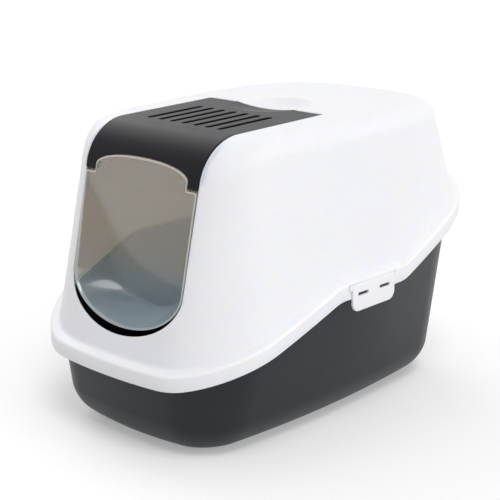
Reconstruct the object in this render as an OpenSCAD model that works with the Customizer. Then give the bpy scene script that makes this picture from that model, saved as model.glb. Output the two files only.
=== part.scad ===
// Hooded litter box: a deep tray under a lift-off hood. The hood's front and roof carry a flip-up
// visor with vent slots and a charcoal filter, an entrance flap swings in the visor, and a hinged
// clip on each side holds the hood down on the tray. Lengths are in millimetres. The front faces
// -Y, +X is to the right of a viewer who faces the front, +Z is up, and the origin is on the floor
// under the middle of the box.

/* [Flange outline] */
// Length of the hood's flange, front to back
flange_len = 578; // [566:1:590]
// Width of the hood's flange at its widest
flange_wid = 388; // [382:1:394]
// Radius of the flange's front corners, seen from above
front_corner_r = 98; // [80:1:110]
// Radius of the flange's back corners, seen from above
back_corner_r = 126; // [100:1:140]
// How far the front of the outline bows out between its corners
front_bow = 18; // [8:1:26]
// How far the back of the outline bows out between its corners
back_bow = 30; // [15:1:36]
// How far each side of the outline bows out
side_bow = 26; // [10:1:32]

/* [Rim height] */
// Height of the hood's lower edge at the front
rim_front_z = 94; // [88:1:100]
// Height of the level stretch of that edge where the side clips sit
land_z = 175.5; // [170:0.5:180]
// Height of that edge at the back
rim_back_z = 243; // [236:1:248]
// How far the level stretch reaches to the front of the clips' middle
land_front_len = 58.5; // [56:0.5:62]
// How far the level stretch reaches to the back of the clips' middle
land_back_len = 66.5; // [62:0.5:72]
// Rise of the sloping stretches as a share of their run
rim_slope_share = 0.4; // [0.39:0.01:0.44]

/* [Tray] */
// Wall of the tray
tray_wall = 2.5; // [2:0.1:3]
// Width of the tray where its rounded bottom edge begins
tray_low_wid = 305; // [290:1:315]
// How far the front of the tray at that height stands back from the front of the flange
tray_front_in = 20; // [17:1:29]
// How far the back of the tray at that height stands in from the back of the flange
tray_back_in = 62; // [50:1:74]
// Radius of the tray's rounded bottom edge
tray_edge_r = 55; // [45:1:58]
// Radius of the tray's corners at that height, seen from above
tray_corner_r = 66; // [62:1:76]
// Bow of the tray's sides and ends at that height
tray_low_bow = 15; // [5:1:20]
// How far the tray's wall stands back from the flange's outline
tray_wall_inset = 14; // [13.5:0.1:16]
// How far the tray's lip stands back from the flange's outline
lip_inset = 7.5; // [7:0.1:8.5]
// Thickness of the lip and of its turned-down bead
lip_t = 2.5; // [2:0.1:3]
// Height of the turned-down bead, lip included
bead_h = 8; // [6:0.5:9]

/* [Hood] */
// Wall of the hood
hood_wall = 2.5; // [2.3:0.1:2.8]
// Height of the flange's upright face
skirt_h = 20; // [18:0.5:22]
// Width of the ledge from the flange's face to the hood's wall
ledge_wid = 12.5; // [12:0.5:14]
// Rise of the ledge up to the fillet at the wall
ledge_rise = 1; // [0.5:0.1:1.5]
// Radius of the flange's upper edge
flange_edge_r = 3.5; // [3:0.1:4]
// Radius of the fillet where the wall stands on the ledge
wall_fillet = 4; // [3:0.5:5]
// Width of the hood across its shoulders
shoulder_wid = 324; // [316:1:332]
// How far the back of the hood at its shoulders stands in from the back of the flange
shoulder_back_in = 49; // [41:1:57]
// Radius of the shoulders along the sides and the back
shoulder_r = 24; // [20:1:28]
// Radius of the brow over the entrance
brow_r = 63.4; // [58:0.1:68]
// Radius of the hood's front corners at the shoulders, seen from above
shoulder_front_corner_r = 60; // [50:1:70]
// Radius of the hood's back corners at the shoulders, seen from above
shoulder_back_corner_r = 74; // [60:1:90]
// Height where the roof and the leaning front would meet
roof_front_z = 377.7; // [370:0.1:385]
// How far that meeting place stands back from the front of the flange
roof_front_in = 76; // [73:1:79]
// Rise of the roof from there to the rear edge of the visor
roof_rise = 4; // [3:0.1:5]
// Drop of the roof from the rear edge of the visor to the back shoulder
roof_back_drop = 4.7; // [3:0.1:7]
// Drop of the roof from the visor's width out to the shoulders
roof_crown = 6; // [3:0.5:8]
// Lean of the front wall from upright, in degrees
front_lean = 11.9; // [10:0.1:13]

/* [Entrance] */
// Width of the opening for the visor and the flap
opening_wid = 194; // [188:1:196]
// Length of the opening in the roof, from where the roof and the leaning front would meet
opening_len = 209.4; // [206:0.1:212]
// Height of the lowest point of the entrance
sill_z = 141; // [138:1:146]
// Height of the rounded lower end of the entrance
sill_arc_h = 60; // [54:1:66]

/* [Finger dish] */
// Width of the finger dish across the roof
dish_wid = 100; // [90:1:100]
// Length of the finger dish, front to back
dish_len = 112; // [100:1:114]
// Distance from the rear edge of the opening back to the centre of the finger dish
dish_back = 13.6; // [12:0.1:16]
// Depth of the dish in the hood
dish_depth = 16; // [14:0.5:18]
// Depth of the shallow end of the dish in the visor
visor_dish_depth = 4.2; // [3:0.1:5]

/* [Visor] */
// Thickness of the visor
visor_t = 2; // [1.8:0.1:2.2]
// Gap between the visor and the edge of the opening
visor_gap = 0.4; // [0.3:0.05:0.6]
// Width of each tab beside the flap
tab_wid = 16.6; // [15:0.1:18]
// Height of the arch between the tabs, above the flap's shoulders
arch_h = 27; // [24:0.5:29]
// Height of the arch's upright sides
arch_side_h = 9; // [7:0.5:11]
// Radius of the rounded rear edge, which the hinge axis runs through
nose_r = 5; // [4.5:0.1:5.2]
// Radius of the visor's hinge pins
visor_pin_r = 2; // [1.8:0.1:2.2]
// Length of the visor's hinge pins
visor_pin_len = 6; // [5:0.5:8]

/* [Vent slots] */
// Number of vent slots
vent_count = 7; // [5:1:7]
// Distance from one vent slot to the next
vent_pitch = 20; // [18:0.5:21]
// Width of a vent slot
vent_wid = 8; // [6:0.5:9]
// Length of a vent slot
vent_len = 94; // [80:1:96]
// Distance from the visor's rear edge to the middle of the slots
vent_back = 102; // [100:0.5:104]

/* [Flap] */
// Thickness of the flap
flap_t = 2.5; // [2:0.1:3]
// Gap between the flap and the sides of the entrance
flap_side_gap = 1.8; // [1.5:0.1:3]
// Gap between the flap's lip and the sill
flap_sill_gap = 6; // [5:0.5:7]
// Gap between the flap and the visor's arch
flap_arch_gap = 1.2; // [1:0.1:1.5]
// Width of the flat rim round the flap
flap_rim_wid = 2.5; // [2:0.1:3]
// Width of the side walls' fold at the lip, seen from the front
flap_side_fold = 40; // [34:1:46]
// Height of the lip's fold, seen from the front
flap_lip_fold = 12; // [9:0.5:15]
// How far the pane leans inward from upright, which balances the flap about its hinge
pane_lean = 8; // [5:0.5:11]
// Height above the shoulders' tangent at which the pane leaves the front's slope
pane_top_drop = 14; // [10:1:20]
// Radius of the flap's hinge pins
flap_pin_r = 1.5; // [1.3:0.1:1.5]
// Depth of the flap's hinge axis behind the front surface
flap_axis_depth = 4.2; // [4.2:0.1:4.6]
// Height of that axis above the brow's lower end, along the front
flap_axis_rise = 1; // [0:0.1:2]

/* [Side clips] */
// Width of a clip
clip_wid = 82; // [78:1:88]
// Middle of the clips along Y
clip_y = -20.5; // [-24:0.5:-16]
// How far a clip hangs below the flange
clip_drop = 16.5; // [15:0.5:19]
// Thickness of a clip
clip_t = 2.8; // [2.5:0.1:3]
// How far a clip stands proud of the flange
clip_proud = 1; // [0.8:0.1:1.2]
// Radius of the clip's lower corners
clip_corner_r = 11; // [8:0.5:13]
// Gap between a clip and its notch
clip_gap = 0.4; // [0.3:0.05:0.6]
// Radius of the clip's hinge barrel
clip_barrel_r = 2.3; // [2.2:0.05:2.5]
// Radius of the clip's hinge pins
clip_pin_r = 1.3; // [1.1:0.05:1.4]
// Length of the clip's hinge pins
clip_pin_len = 3.5; // [3:0.1:4]
// Width of the slot over each hook
clip_slot_wid = 20; // [18:0.5:22]
// Height of the slot over each hook
clip_slot_h = 4.4; // [4.2:0.1:5]
// Height of the slots' middle above the flange's lower edge
clip_slot_rise = 4.5; // [4:0.1:5]
// Distance between the middles of the two slots
clip_slot_pitch = 42; // [38:1:46]
// Thickness of a hook
clip_hook_t = 2; // [1.5:0.1:2.2]

/* [Filter] */
// Width of the filter holder
holder_wid = 156; // [150:1:160]
// Length of the filter holder
holder_len = 102; // [98:1:104]
// Height of the filter holder
holder_h = 12; // [10:0.5:14]
// Wall and floor of the filter holder
holder_wall = 2; // [1.6:0.1:2.4]
// Width of a bar of the holder's grid
grid_bar = 3; // [2.5:0.1:4]
// Number of openings across the holder's grid
grid_across = 7; // [5:1:9]
// Number of openings along the holder's grid
grid_along = 4; // [3:1:6]
// Thickness of the charcoal filter
filter_t = 7; // [5:0.5:9]
// Radius of the holder's hinge pins
holder_pin_r = 1.5; // [1.3:0.1:1.7]

/* [Hidden] */

// Overrun of every cut
overrun = 10;
// Gap between pieces that rest on one another
seat_gap = 0.3;
// Running clearance of every hinge pin in its bore, on the radius
pin_gap = 0.05;
// Half lengths over which the corners of the rim's height curve are rounded
rim_blend = 10;
rim_back_blend = 45;
// Smallest radius of a corner, seen from above
min_corner_r = 10;
// Lean of the hood's side and back walls where the shoulders begin, in degrees
side_lean = 7;
back_lean = 20;
// Lean of the tray's walls where the rounded bottom edge ends, in degrees
tray_lean = 12;
// Bow of the front at the shoulders
shoulder_front_bow = 3;
// Thickness and width of the ledges that the visor rests on
visor_ledge_t = 2.5;
visor_ledge_wid = 5.8;
// Depth, length and clearance of the sockets and knuckles at the visor's rear edge
socket_len = 10;
knuckle_web_len = 8;
nose_room = 2.5;
// Radius of the finger bead under the visor's rear edge
bead_r = 1.6;
// Outer radius and length of the flap's bearings, and the radius of the flap's ears
bearing_r = 5.6;
bearing_len = 10;
tab_end_r = 8;
ear_r = 3.4;
ear_len = 8;
flap_pin_len = 10;
// Length and height of the clip's lugs
lug_len = 4.5;
lug_h = 6.3;
// Lugs that carry the filter holder
holder_lug = 6;
holder_ear_len = 5;
holder_pin_len = 4;
holder_side_gap = 0.3;
// Levels of the lofts, as shares from one ring to the next
wall_shares = [0.06, 0.35, 0.7];
tray_shares = [0.25, 0.5, 0.75];
roof_shares = [0.3, 0.65];
dish_shares = [1, 0.93, 0.82, 0.65, 0.35];
visor_dish_shares = [0.4, 0.7, 0.9, 1];
fold_shares = [0, 0.25, 0.55, 1];
// Powers of the curves: the dish's floor in the hood and in the visor, the arch, and the flap's two folds
dish_power = 3.5;
visor_dish_power = 2;
arch_power = 2.2;
fold_power = 1.6;
lip_power = 4;
// How far the flap's fold draws in where there is no wall, as a share of the flap's half width
fold_least_share = 0.02;
shoulder_steps = 5;
edge_steps = 5;
corner_steps = 8;
end_steps = 6;
side_steps = 24;
arc_facets = 16;
oval_facets = 48;
round_facets = 48;
hole_facets = 32;
lip_steps = 15;
arch_steps = 12;

// Places along Y of the hood and the tray, counted from the front and the back of the flange
roof_front_y = roof_front_in - flange_len / 2;
opening_rear_y = roof_front_y + opening_len;
dish_y = opening_rear_y + dish_back;
shoulder_back_y = flange_len / 2 - shoulder_back_in;
tray_low_front_y = tray_front_in - flange_len / 2;
tray_low_back_y = flange_len / 2 - tray_back_in;
land_front_y = clip_y - land_front_len;
land_back_y = clip_y + land_back_len;

// Heights of the roof at the rear edge of the visor and at the back shoulder
roof_rear_z = roof_front_z + roof_rise;
roof_back_z = roof_rear_z - roof_back_drop;

// Where the rim starts to rise and where it has risen to the back's height
rise_start_y = land_front_y - (land_z - rim_front_z) / rim_slope_share;
rise_end_y = land_back_y + (rim_back_z - land_z) / rim_slope_share;

// The roof's slope and the brow's circle, seen from the side
roof_slope = atan((roof_rear_z - roof_front_z) / (opening_rear_y - roof_front_y));
roof_out = [-sin(roof_slope), cos(roof_slope)];
front_out = [-cos(front_lean), sin(front_lean)];
front_up = [sin(front_lean), cos(front_lean)];
brow = [roof_front_y, roof_front_z] - (roof_out + front_out) * (brow_r / (1 + roof_out * front_out));
brow_low = brow + front_out * brow_r;

// The flap's axis and the height of its shoulders
flap_axis = brow_low - front_out * flap_axis_depth + front_up * flap_axis_rise;
shoulder_z = flap_axis[1] - (tab_end_r + seat_gap) * front_up[1];
sill_arc_z = sill_z + sill_arc_h;
flap_half_wid = opening_wid / 2 - flap_side_gap;
arch_half_wid = opening_wid / 2 - visor_gap - tab_wid;
pane_top_z = brow_low[1] - pane_top_drop;

// The visor's hinge axis, in the middle of its rounded rear edge
hinge = [opening_rear_y - visor_gap, roof_rear_z] - [nose_r, nose_r];
knuckle_in = dish_wid / 2 + visor_gap;
knuckle_out = opening_wid / 2 - visor_gap;

// The clip's axis and its outer face
clip_face_x = flange_wid / 2 + clip_proud;
clip_axis = [clip_face_x - clip_barrel_r, land_z + skirt_h - hood_wall - seat_gap - clip_barrel_r];
clip_low_z = land_z - clip_drop;
lip_top = skirt_h - hood_wall - seat_gap;

function smooth(t) = let (u = max(0, min(1, t))) u * u * (3 - 2 * u);

// A ramp of slope 1 that starts at t = 0, rounded over w either side of its start
function soft_ramp(t, w) = t <= -w ? 0 : t >= w ? t : (t + w) * (t + w) / (4 * w);

// Height of the hood's lower edge at a place along Y
function rim_z(y) = rim_front_z + rim_slope_share * (
    soft_ramp(y - rise_start_y, rim_blend) - soft_ramp(y - land_front_y, rim_blend)
    + soft_ramp(y - land_back_y, rim_blend) - soft_ramp(y - rise_end_y, rim_back_blend));

// A quarter circle without its last point, and a straight run without its last point
function quarter(c, r, a) =
    [for (i = [0 : corner_steps - 1])
        let (turn = a + 90 * i / corner_steps) c + r * [cos(turn), sin(turn)]];
function run(p, q, n) = [for (i = [0 : n - 1]) p + (q - p) * i / n];

// Which way each point of a plan ring faces, in degrees, in the order of plan_ring
ring_way = concat(
    [for (i = [0 : corner_steps - 1]) 90 * i / corner_steps], [for (i = [1 : end_steps]) 90],
    [for (i = [0 : corner_steps - 1]) 90 + 90 * i / corner_steps], [for (i = [1 : side_steps]) 180],
    [for (i = [0 : corner_steps - 1]) 180 + 90 * i / corner_steps], [for (i = [1 : end_steps]) 270],
    [for (i = [0 : corner_steps - 1]) 270 + 90 * i / corner_steps], [for (i = [1 : side_steps]) 360]);
ring_count = len(ring_way);

// A rounded rectangle seen from above whose sides and ends bow out, as a ring of points
function plan_ring(hx, yf, yb, rf, rb, bf, bb, bs) =
    let (
        yc = (yf + yb) / 2,
        hy = (yb - yf) / 2,
        base = concat(
            quarter([hx - rb, yb - rb], rb, 0), run([hx - rb, yb], [rb - hx, yb], end_steps),
            quarter([rb - hx, yb - rb], rb, 90), run([-hx, yb - rb], [-hx, yf + rf], side_steps),
            quarter([rf - hx, yf + rf], rf, 180), run([rf - hx, yf], [hx - rf, yf], end_steps),
            quarter([hx - rf, yf + rf], rf, 270), run([hx, yf + rf], [hx, yb - rb], side_steps)))
    [for (p = base)
        let (u = p[0] / hx, v = (p[1] - yc) / hy)
        [u * (hx - bs * v * v), yc + v * (hy - (v > 0 ? bb : bf) * u * u)]];

// The flange's outline moved in by an inset, seen from above
function flange_plan(inset) = plan_ring(
    flange_wid / 2 - inset, inset - flange_len / 2, flange_len / 2 - inset,
    max(front_corner_r - inset, min_corner_r), max(back_corner_r - inset, min_corner_r),
    front_bow, back_bow, side_bow);

// The same ring at a height above the hood's lower edge
function flange_ring(inset, rise) = [for (p = flange_plan(inset)) [p[0], p[1], rim_z(p[1]) + rise]];

// Height of the roof's outer face
function roof_z(x, y) =
    let (
        back = max(0, y - opening_rear_y),
        reach = shoulder_back_y - opening_rear_y,
        side = max(0, abs(x) - opening_wid / 2) / (shoulder_wid / 2 - opening_wid / 2))
    roof_rear_z + tan(roof_slope) * (y - opening_rear_y)
    - (roof_rear_z + tan(roof_slope) * reach - roof_back_z) * pow(back / reach, 2)
    - roof_crown * side * side;

// Plan ring of the hood's shoulders: f is 0 where the wall ends and 1 where the roof begins
function shoulder_plan(f, inset) =
    let (
        side = side_lean + (90 - side_lean) * f,
        front = front_lean + (90 - roof_slope - front_lean) * f,
        back = back_lean + (90 - back_lean) * f,
        turned = shoulder_r * (1 - cos(side)))
    plan_ring(
        shoulder_wid / 2 - shoulder_r + (shoulder_r - inset) * cos(side),
        brow[0] - shoulder_front_bow / 2 - (brow_r - inset) * cos(front),
        shoulder_back_y - shoulder_r + (shoulder_r - inset) * cos(back),
        shoulder_front_corner_r - turned, shoulder_back_corner_r - turned - inset,
        shoulder_front_bow, back_bow, side_bow);

// The same ring with its height: the shoulders turn on their own radius, and the brow on its larger one
function shoulder_ring(f, inset) =
    let (
        plan = shoulder_plan(f, inset),
        roof = shoulder_plan(1, inset),
        side = side_lean + (90 - side_lean) * f,
        front = front_lean + (90 - roof_slope - front_lean) * f,
        back = back_lean + (90 - back_lean) * f)
    [for (i = [0 : ring_count - 1])
        let (
            wf = smooth(-sin(ring_way[i])),
            wb = smooth(sin(ring_way[i])),
            r = shoulder_r * (1 - wf) + brow_r * wf - inset,
            turn = sin(side) * (1 - wf - wb) + sin(front) * wf + sin(back) * wb)
        [plan[i][0], plan[i][1], roof_z(roof[i][0], roof[i][1]) - inset - r * (1 - turn)]];

// A ring part of the way from one ring to another
function between(a, b, s) = [for (i = [0 : len(a) - 1]) a[i] * (1 - s) + b[i] * s];

// The oval round the finger dish at a share of its size, with a point for each point of the roof's edge
function dish_oval(s, grow) =
    [for (p = shoulder_plan(1, 0))
        let (a = atan2(p[1] - dish_y, p[0]))
        [(dish_wid / 2 + grow) * s * cos(a), dish_y + (dish_len / 2 + grow) * s * sin(a)]];

// A ring of the roof, drawn in from its edge towards the dish by a share
function roof_ring(s, inset) =
    [for (p = between(shoulder_plan(1, inset), dish_oval(1, inset), s))
        [p[0], p[1], roof_z(p[0], p[1]) - inset]];

// A ring of the dish at a share of its radius, and its deepest point
function dish_ring(s, inset) =
    [for (p = dish_oval(s, inset))
        [p[0], p[1], roof_z(p[0], p[1]) - dish_depth * (1 - pow(s, dish_power)) - inset]];
function dish_middle(inset) = [0, dish_y, roof_z(0, dish_y) - dish_depth - inset];

// The hood's rings from the flange up to the roof, moved in by an inset
function hood_rings(inset) =
    let (
        wall = flange_ring(ledge_wid + inset, skirt_h + ledge_rise + wall_fillet),
        top = shoulder_ring(0, inset),
        edge = max(flange_edge_r - inset, flange_edge_r / 4))
    concat(
        [
            flange_ring(inset, 0), flange_ring(inset, skirt_h - inset - edge),
            flange_ring(inset + edge * (1 - cos(45)), skirt_h - inset - edge * (1 - cos(45))),
            flange_ring(inset + edge, skirt_h - inset),
            flange_ring(ledge_wid - wall_fillet + inset, skirt_h + ledge_rise - inset),
            flange_ring(ledge_wid - wall_fillet * (1 - cos(45)) + inset,
                skirt_h + ledge_rise + wall_fillet * (1 - cos(45)) - inset * cos(45)),
            wall
        ],
        [for (s = wall_shares) between(wall, top, s)],
        [for (i = [0 : shoulder_steps]) shoulder_ring(i / shoulder_steps, inset)],
        [for (s = roof_shares) roof_ring(s, inset)],
        [for (s = dish_shares) dish_ring(s, inset)]);

// The tray's rounded bottom: the ring at a turn from level, for a face moved in by an inset
function tray_low_ring(turn, inset) =
    let (
        r = tray_edge_r - inset,
        back = tray_edge_r - r * cos(turn),
        plan = plan_ring(
            tray_low_wid / 2 - back, tray_low_front_y + back, tray_low_back_y - back,
            max(tray_corner_r - back, min_corner_r), max(tray_corner_r - back, min_corner_r),
            tray_low_bow, tray_low_bow, tray_low_bow))
    [for (p = plan) [p[0], p[1], tray_edge_r - r * sin(turn)]];

// The tray's rings for one face, from the floor up to the rim
function tray_rings(inset, rise) =
    let (
        top = flange_ring(tray_wall_inset + inset, rise),
        low = tray_low_ring(tray_lean, inset))
    concat(
        [for (i = [0 : edge_steps - 1]) tray_low_ring(90 + (tray_lean - 90) * i / edge_steps, inset)],
        [low], [for (s = tray_shares) between(low, top, s)], [top]);

function reversed(v) = [for (i = [len(v) - 1 : -1 : 0]) v[i]];
function flat(v) = [for (ring = v) for (p = ring) p];

// A closed skin through rings of as many points, from a first point to a last one
module loft(rings, first, last) {
    n = len(rings[0]);
    m = len(rings);
    points = concat([first], flat(rings), [last]);
    faces = concat(
        [for (i = [0 : n - 1]) [0, 1 + i, 1 + (i + 1) % n]],
        [for (k = [0 : m - 2]) for (i = [0 : n - 1])
            [1 + k * n + i, 1 + (k + 1) * n + i, 1 + k * n + (i + 1) % n]],
        [for (k = [0 : m - 2]) for (i = [0 : n - 1])
            [1 + (k + 1) * n + i, 1 + (k + 1) * n + (i + 1) % n, 1 + k * n + (i + 1) % n]],
        [for (i = [0 : n - 1]) [1 + (m - 1) * n + i, 1 + m * n, 1 + (m - 1) * n + (i + 1) % n]]);
    polyhedron(points, faces);
}

// What is drawn in the YZ plane, made as long as len along X and centred on x = 0
module along_x(len) {
    rotate([90, 0, 90]) linear_extrude(len, center = true) children();
}

// A round bar along X about a point of the YZ plane
module bar_x(centre, r, from, to) {
    translate([from, centre[0], centre[1]]) rotate([0, 90, 0])
        cylinder(to - from, r = r, $fn = round_facets);
}

// A box between two corners
module block(low, high) {
    translate(low) cube(high - low);
}

// Children drawn with Y along the roof and Z square to it, from the visor's rear edge
module roof_frame() {
    translate([0, opening_rear_y, roof_rear_z]) rotate([roof_slope, 0, 0]) children();
}

// Children drawn with Z up the leaning front and -Y square out of it, from the brow's lower end
module front_frame() {
    translate([0, brow_low[0], brow_low[1]]) rotate([-front_lean, 0, 0]) children();
}

// Children on one side, mirrored for the other
module on_side(side) {
    if (side < 0) mirror([1, 0, 0]) children();
    else children();
}

// The roof and the front seen from the side, at a depth below the outer face, from rear_y down to low_z:
// straight along the roof, round the brow, and on down the leaning front where low_z lies below the brow
function brow_line(depth, rear_y, low_z) =
    let (
        r = brow_r - depth,
        leans = low_z < brow_low[1],
        start = 90 + roof_slope,
        end = 180 - (leans ? front_lean : asin((low_z - brow[1]) / r)))
    concat(
        [[rear_y, roof_rear_z + tan(roof_slope) * (rear_y - opening_rear_y) - depth / cos(roof_slope)]],
        [for (i = [0 : arc_facets])
            let (a = start + (end - start) * i / arc_facets) brow + r * [cos(a), sin(a)]],
        leans
            ? [[brow_low[0] + (low_z - brow_low[1]) * tan(front_lean) + depth / cos(front_lean), low_z]]
            : []);

// A band along the front and roof between two depths
module brow_band(depth, deeper, rear_y, low_z) {
    polygon(concat(brow_line(depth, rear_y, low_z), reversed(brow_line(deeper, rear_y, low_z))));
}

// The entrance and the visor's place seen from the front, open at the top
module opening_outline() {
    half = opening_wid / 2;
    steps = arc_facets * 2;
    polygon(concat(
        [[half, roof_rear_z + overrun], [-half, roof_rear_z + overrun]],
        [for (i = [0 : steps])
            let (a = 180 * i / steps) [-half * cos(a), sill_arc_z - sill_arc_h * sin(a)]]));
}

// The shallow front of the finger dish in the visor, as a whole bowl closed underneath
module visor_bowl() {
    function ring(s, low) = [for (i = [0 : oval_facets - 1])
        let (
            a = 360 * i / oval_facets,
            x = dish_wid / 2 * s * cos(a),
            y = dish_y + dish_len / 2 * s * sin(a),
            depth = seat_gap / 4 + visor_dish_depth * (1 - pow(s, visor_dish_power)))
        [x, y, roof_z(x, y) - depth - low * visor_t]];
    rim = [for (p = ring(1 + visor_t / dish_wid, 0)) p - [0, 0, visor_t / 2]];
    middle = [0, dish_y, roof_z(0, dish_y) - visor_dish_depth];
    loft(
        concat(
            [for (s = visor_dish_shares) ring(s, 1)], [rim],
            reversed([for (s = visor_dish_shares) ring(s, 0)])),
        middle - [0, 0, visor_t], middle);
}

module dish_outline() {
    translate([0, dish_y]) scale([dish_wid, dish_len] / dish_wid) circle(d = dish_wid, $fn = oval_facets);
}

module litter_tray() {
    bead = lip_inset + lip_t;
    outside = tray_rings(0, lip_top - lip_t);
    inside = tray_rings(tray_wall, lip_top);
    lip = [
        flange_ring(bead, lip_top - lip_t), flange_ring(bead, lip_top - bead_h),
        flange_ring(lip_inset, lip_top - bead_h), flange_ring(lip_inset, lip_top - lip_t / 3),
        flange_ring(lip_inset + lip_t / 3, lip_top)
    ];
    mid = (tray_low_front_y + tray_low_back_y) / 2;
    color("#45494b") loft(concat(outside, lip, reversed(inside)), [0, mid, 0], [0, mid, tray_wall]);
}

// What a clip and its lugs take out of the right-hand side of the flange
module clip_notch() {
    half = clip_wid / 2 + clip_gap;
    top = land_z + skirt_h - hood_wall;
    block(
        [clip_face_x - overrun, clip_y - half, land_z - overrun],
        [clip_face_x + overrun, clip_y + half, top - seat_gap / 2]);
    block(
        [clip_face_x - overrun, clip_y - half - lug_len, top - lug_h],
        [clip_face_x + overrun, clip_y + half + lug_len, top - seat_gap / 2]);
}

module hood_skin() {
    inner = hood_rings(hood_wall);
    outer = hood_rings(0);
    loft(concat(reversed(inner), outer), dish_middle(hood_wall), dish_middle(0));
}

// What the opening for the visor and the flap takes out of the hood: all but the dish's front part
module opening_cut() {
    difference() {
        rotate([90, 0, 0]) translate([0, 0, -opening_rear_y])
            linear_extrude(opening_rear_y + flange_len / 2 + overrun) opening_outline();
        roof_frame() block(
            [-dish_wid / 2 - overrun, -dish_len, -dish_depth - overrun],
            [dish_wid / 2 + overrun, overrun, -visor_t - 2 * seat_gap]);
    }
    nose_x = dish_wid / 2 + hood_wall;
    bar_x(hinge, nose_r + nose_room, -nose_x, nose_x);
}

module hood_shell() {
    color("#f3f3f4") difference() {
        union() {
            difference() {
                hood_skin();
                opening_cut();
            }
            // Ledges that the visor rests on
            for (side = [-1, 1])
                translate([side * (opening_wid + visor_ledge_wid - hood_wall) / 2, 0, 0])
                    along_x(visor_ledge_wid + hood_wall) brow_band(
                        visor_t + seat_gap, visor_t + seat_gap + visor_ledge_t,
                        hinge[0] - knuckle_web_len - 2 * nose_r, shoulder_z + 2 * bearing_r);
        }
        for (side = [-1, 1]) on_side(side) clip_notch();
    }
}

// A bearing block under the roof's edge for one of the visor's hinge pins
module visor_socket(side) {
    inner = opening_wid / 2 + visor_gap;
    top = roof_z(inner + socket_len, hinge[0] - nose_r) - hood_wall - seat_gap / 2;
    color("#ecebea") on_side(side) difference() {
        block(
            [inner, hinge[0] - nose_r, hinge[1] - nose_r],
            [inner + socket_len, hinge[0] + nose_r, top]);
        bar_x(hinge, visor_pin_r + pin_gap, inner - overrun, inner + visor_pin_len + seat_gap);
    }
}

module visor_socket_left() visor_socket(-1);
module visor_socket_right() visor_socket(1);

// The hinge lugs at both ends of one clip's notch, let into the flange
module clip_lugs(side) {
    top = land_z + skirt_h - hood_wall;
    half = clip_wid / 2 + clip_gap;
    color("#ecebea") on_side(side) for (end = [-1, 1]) {
        near = clip_y + end * half;
        far = near + end * lug_len;
        difference() {
            block(
                [clip_axis[0] - clip_barrel_r, min(near, far), top - lug_h],
                [clip_axis[0] + clip_barrel_r, max(near, far), top - seat_gap / 2]);
            translate([clip_axis[0], clip_y, clip_axis[1]]) rotate([-90 * end, 0, 0])
                cylinder(half + clip_pin_len + seat_gap, r = clip_pin_r + pin_gap, $fn = hole_facets);
        }
    }
}

module clip_lugs_left() clip_lugs(-1);
module clip_lugs_right() clip_lugs(1);

module front_visor() {
    half = opening_wid / 2 - visor_gap;
    rear_y = opening_rear_y - visor_gap;
    color("#3f4143") difference() {
        union() {
            // A rounded bead under the rear edge of the dish, for the fingers
            hull() for (side = [-1, 1]) translate([side * vent_pitch, rear_y - 2 * bead_r, 0])
                bar_x([0, roof_z(0, rear_y) - visor_dish_depth - visor_t / 2], bead_r, -bead_r, bead_r);
            difference() {
                along_x(2 * half) brow_band(0, visor_t, rear_y, flap_axis[1] - tab_end_r);
                translate([0, 0, roof_back_z - dish_depth]) linear_extrude(dish_depth * 2) dish_outline();
                // The arch and the space for the flap between the tabs
                rotate([90, 0, 0]) linear_extrude(flange_len) polygon(concat(
                    [[arch_half_wid, sill_z], [-arch_half_wid, sill_z]],
                    [for (i = [-arch_steps : arch_steps]) arch_point(sin(90 * i / arch_steps), 0)]));
                // The tabs' lower ends are round about the flap's axis
                difference() {
                    block(
                        [-flange_wid, brow_low[0] - overrun, sill_z],
                        [flange_wid, flap_axis[0] + overrun, flap_axis[1]]);
                    bar_x(flap_axis, tab_end_r, -half - overrun, half + overrun);
                }
                // Beside the dish the hinge knuckles form the rear edge
                for (side = [-1, 1]) on_side(side) block(
                    [knuckle_in - visor_gap, hinge[0], hinge[1] - nose_r],
                    [half + overrun, rear_y + overrun, roof_rear_z + overrun]);
            }
            intersection() {
                visor_bowl();
                block(
                    [-knuckle_in + visor_gap, -dish_len, hinge[1] - overrun],
                    [knuckle_in - visor_gap, rear_y, roof_rear_z + overrun]);
            }
        }
        for (i = [0 : vent_count - 1]) {
            x = (i - (vent_count - 1) / 2) * vent_pitch;
            reach = (vent_len - vent_wid) / 2;
            roof_frame() translate([x, -vent_back, -overrun]) hull() {
                translate([0, -reach, 0]) cylinder(2 * overrun, d = vent_wid, $fn = hole_facets);
                translate([0, reach, 0]) cylinder(2 * overrun, d = vent_wid, $fn = hole_facets);
            }
        }
    }
}

// A point of the arch over the flap, from -1 at the left tab to 1 at the right one
function arch_point(t, gap) = [
    t * (arch_half_wid - gap),
    shoulder_z + arch_side_h
    + (arch_h - arch_side_h - gap) * pow(max(0, 1 - pow(abs(t), arch_power)), 1 / arch_power)];

// One half of the visor's rounded rear edge, with its web under the visor and its hinge pin
module visor_knuckle(side) {
    under = hinge[1] + nose_r - visor_t - seat_gap / 2 - tan(roof_slope) * knuckle_web_len;
    color("#3a3c3e") on_side(side) union() {
        intersection() {
            bar_x(hinge, nose_r, knuckle_in, knuckle_out);
            block(
                [knuckle_in, hinge[0], hinge[1] - nose_r],
                [knuckle_out, hinge[0] + nose_r, hinge[1] + nose_r]);
        }
        block(
            [knuckle_in, hinge[0] - knuckle_web_len, hinge[1] - nose_r],
            [knuckle_out, hinge[0], under]);
        bar_x(hinge, visor_pin_r, knuckle_out, knuckle_out + visor_gap + visor_pin_len);
    }
}

module visor_knuckle_left() visor_knuckle(-1);
module visor_knuckle_right() visor_knuckle(1);

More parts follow.
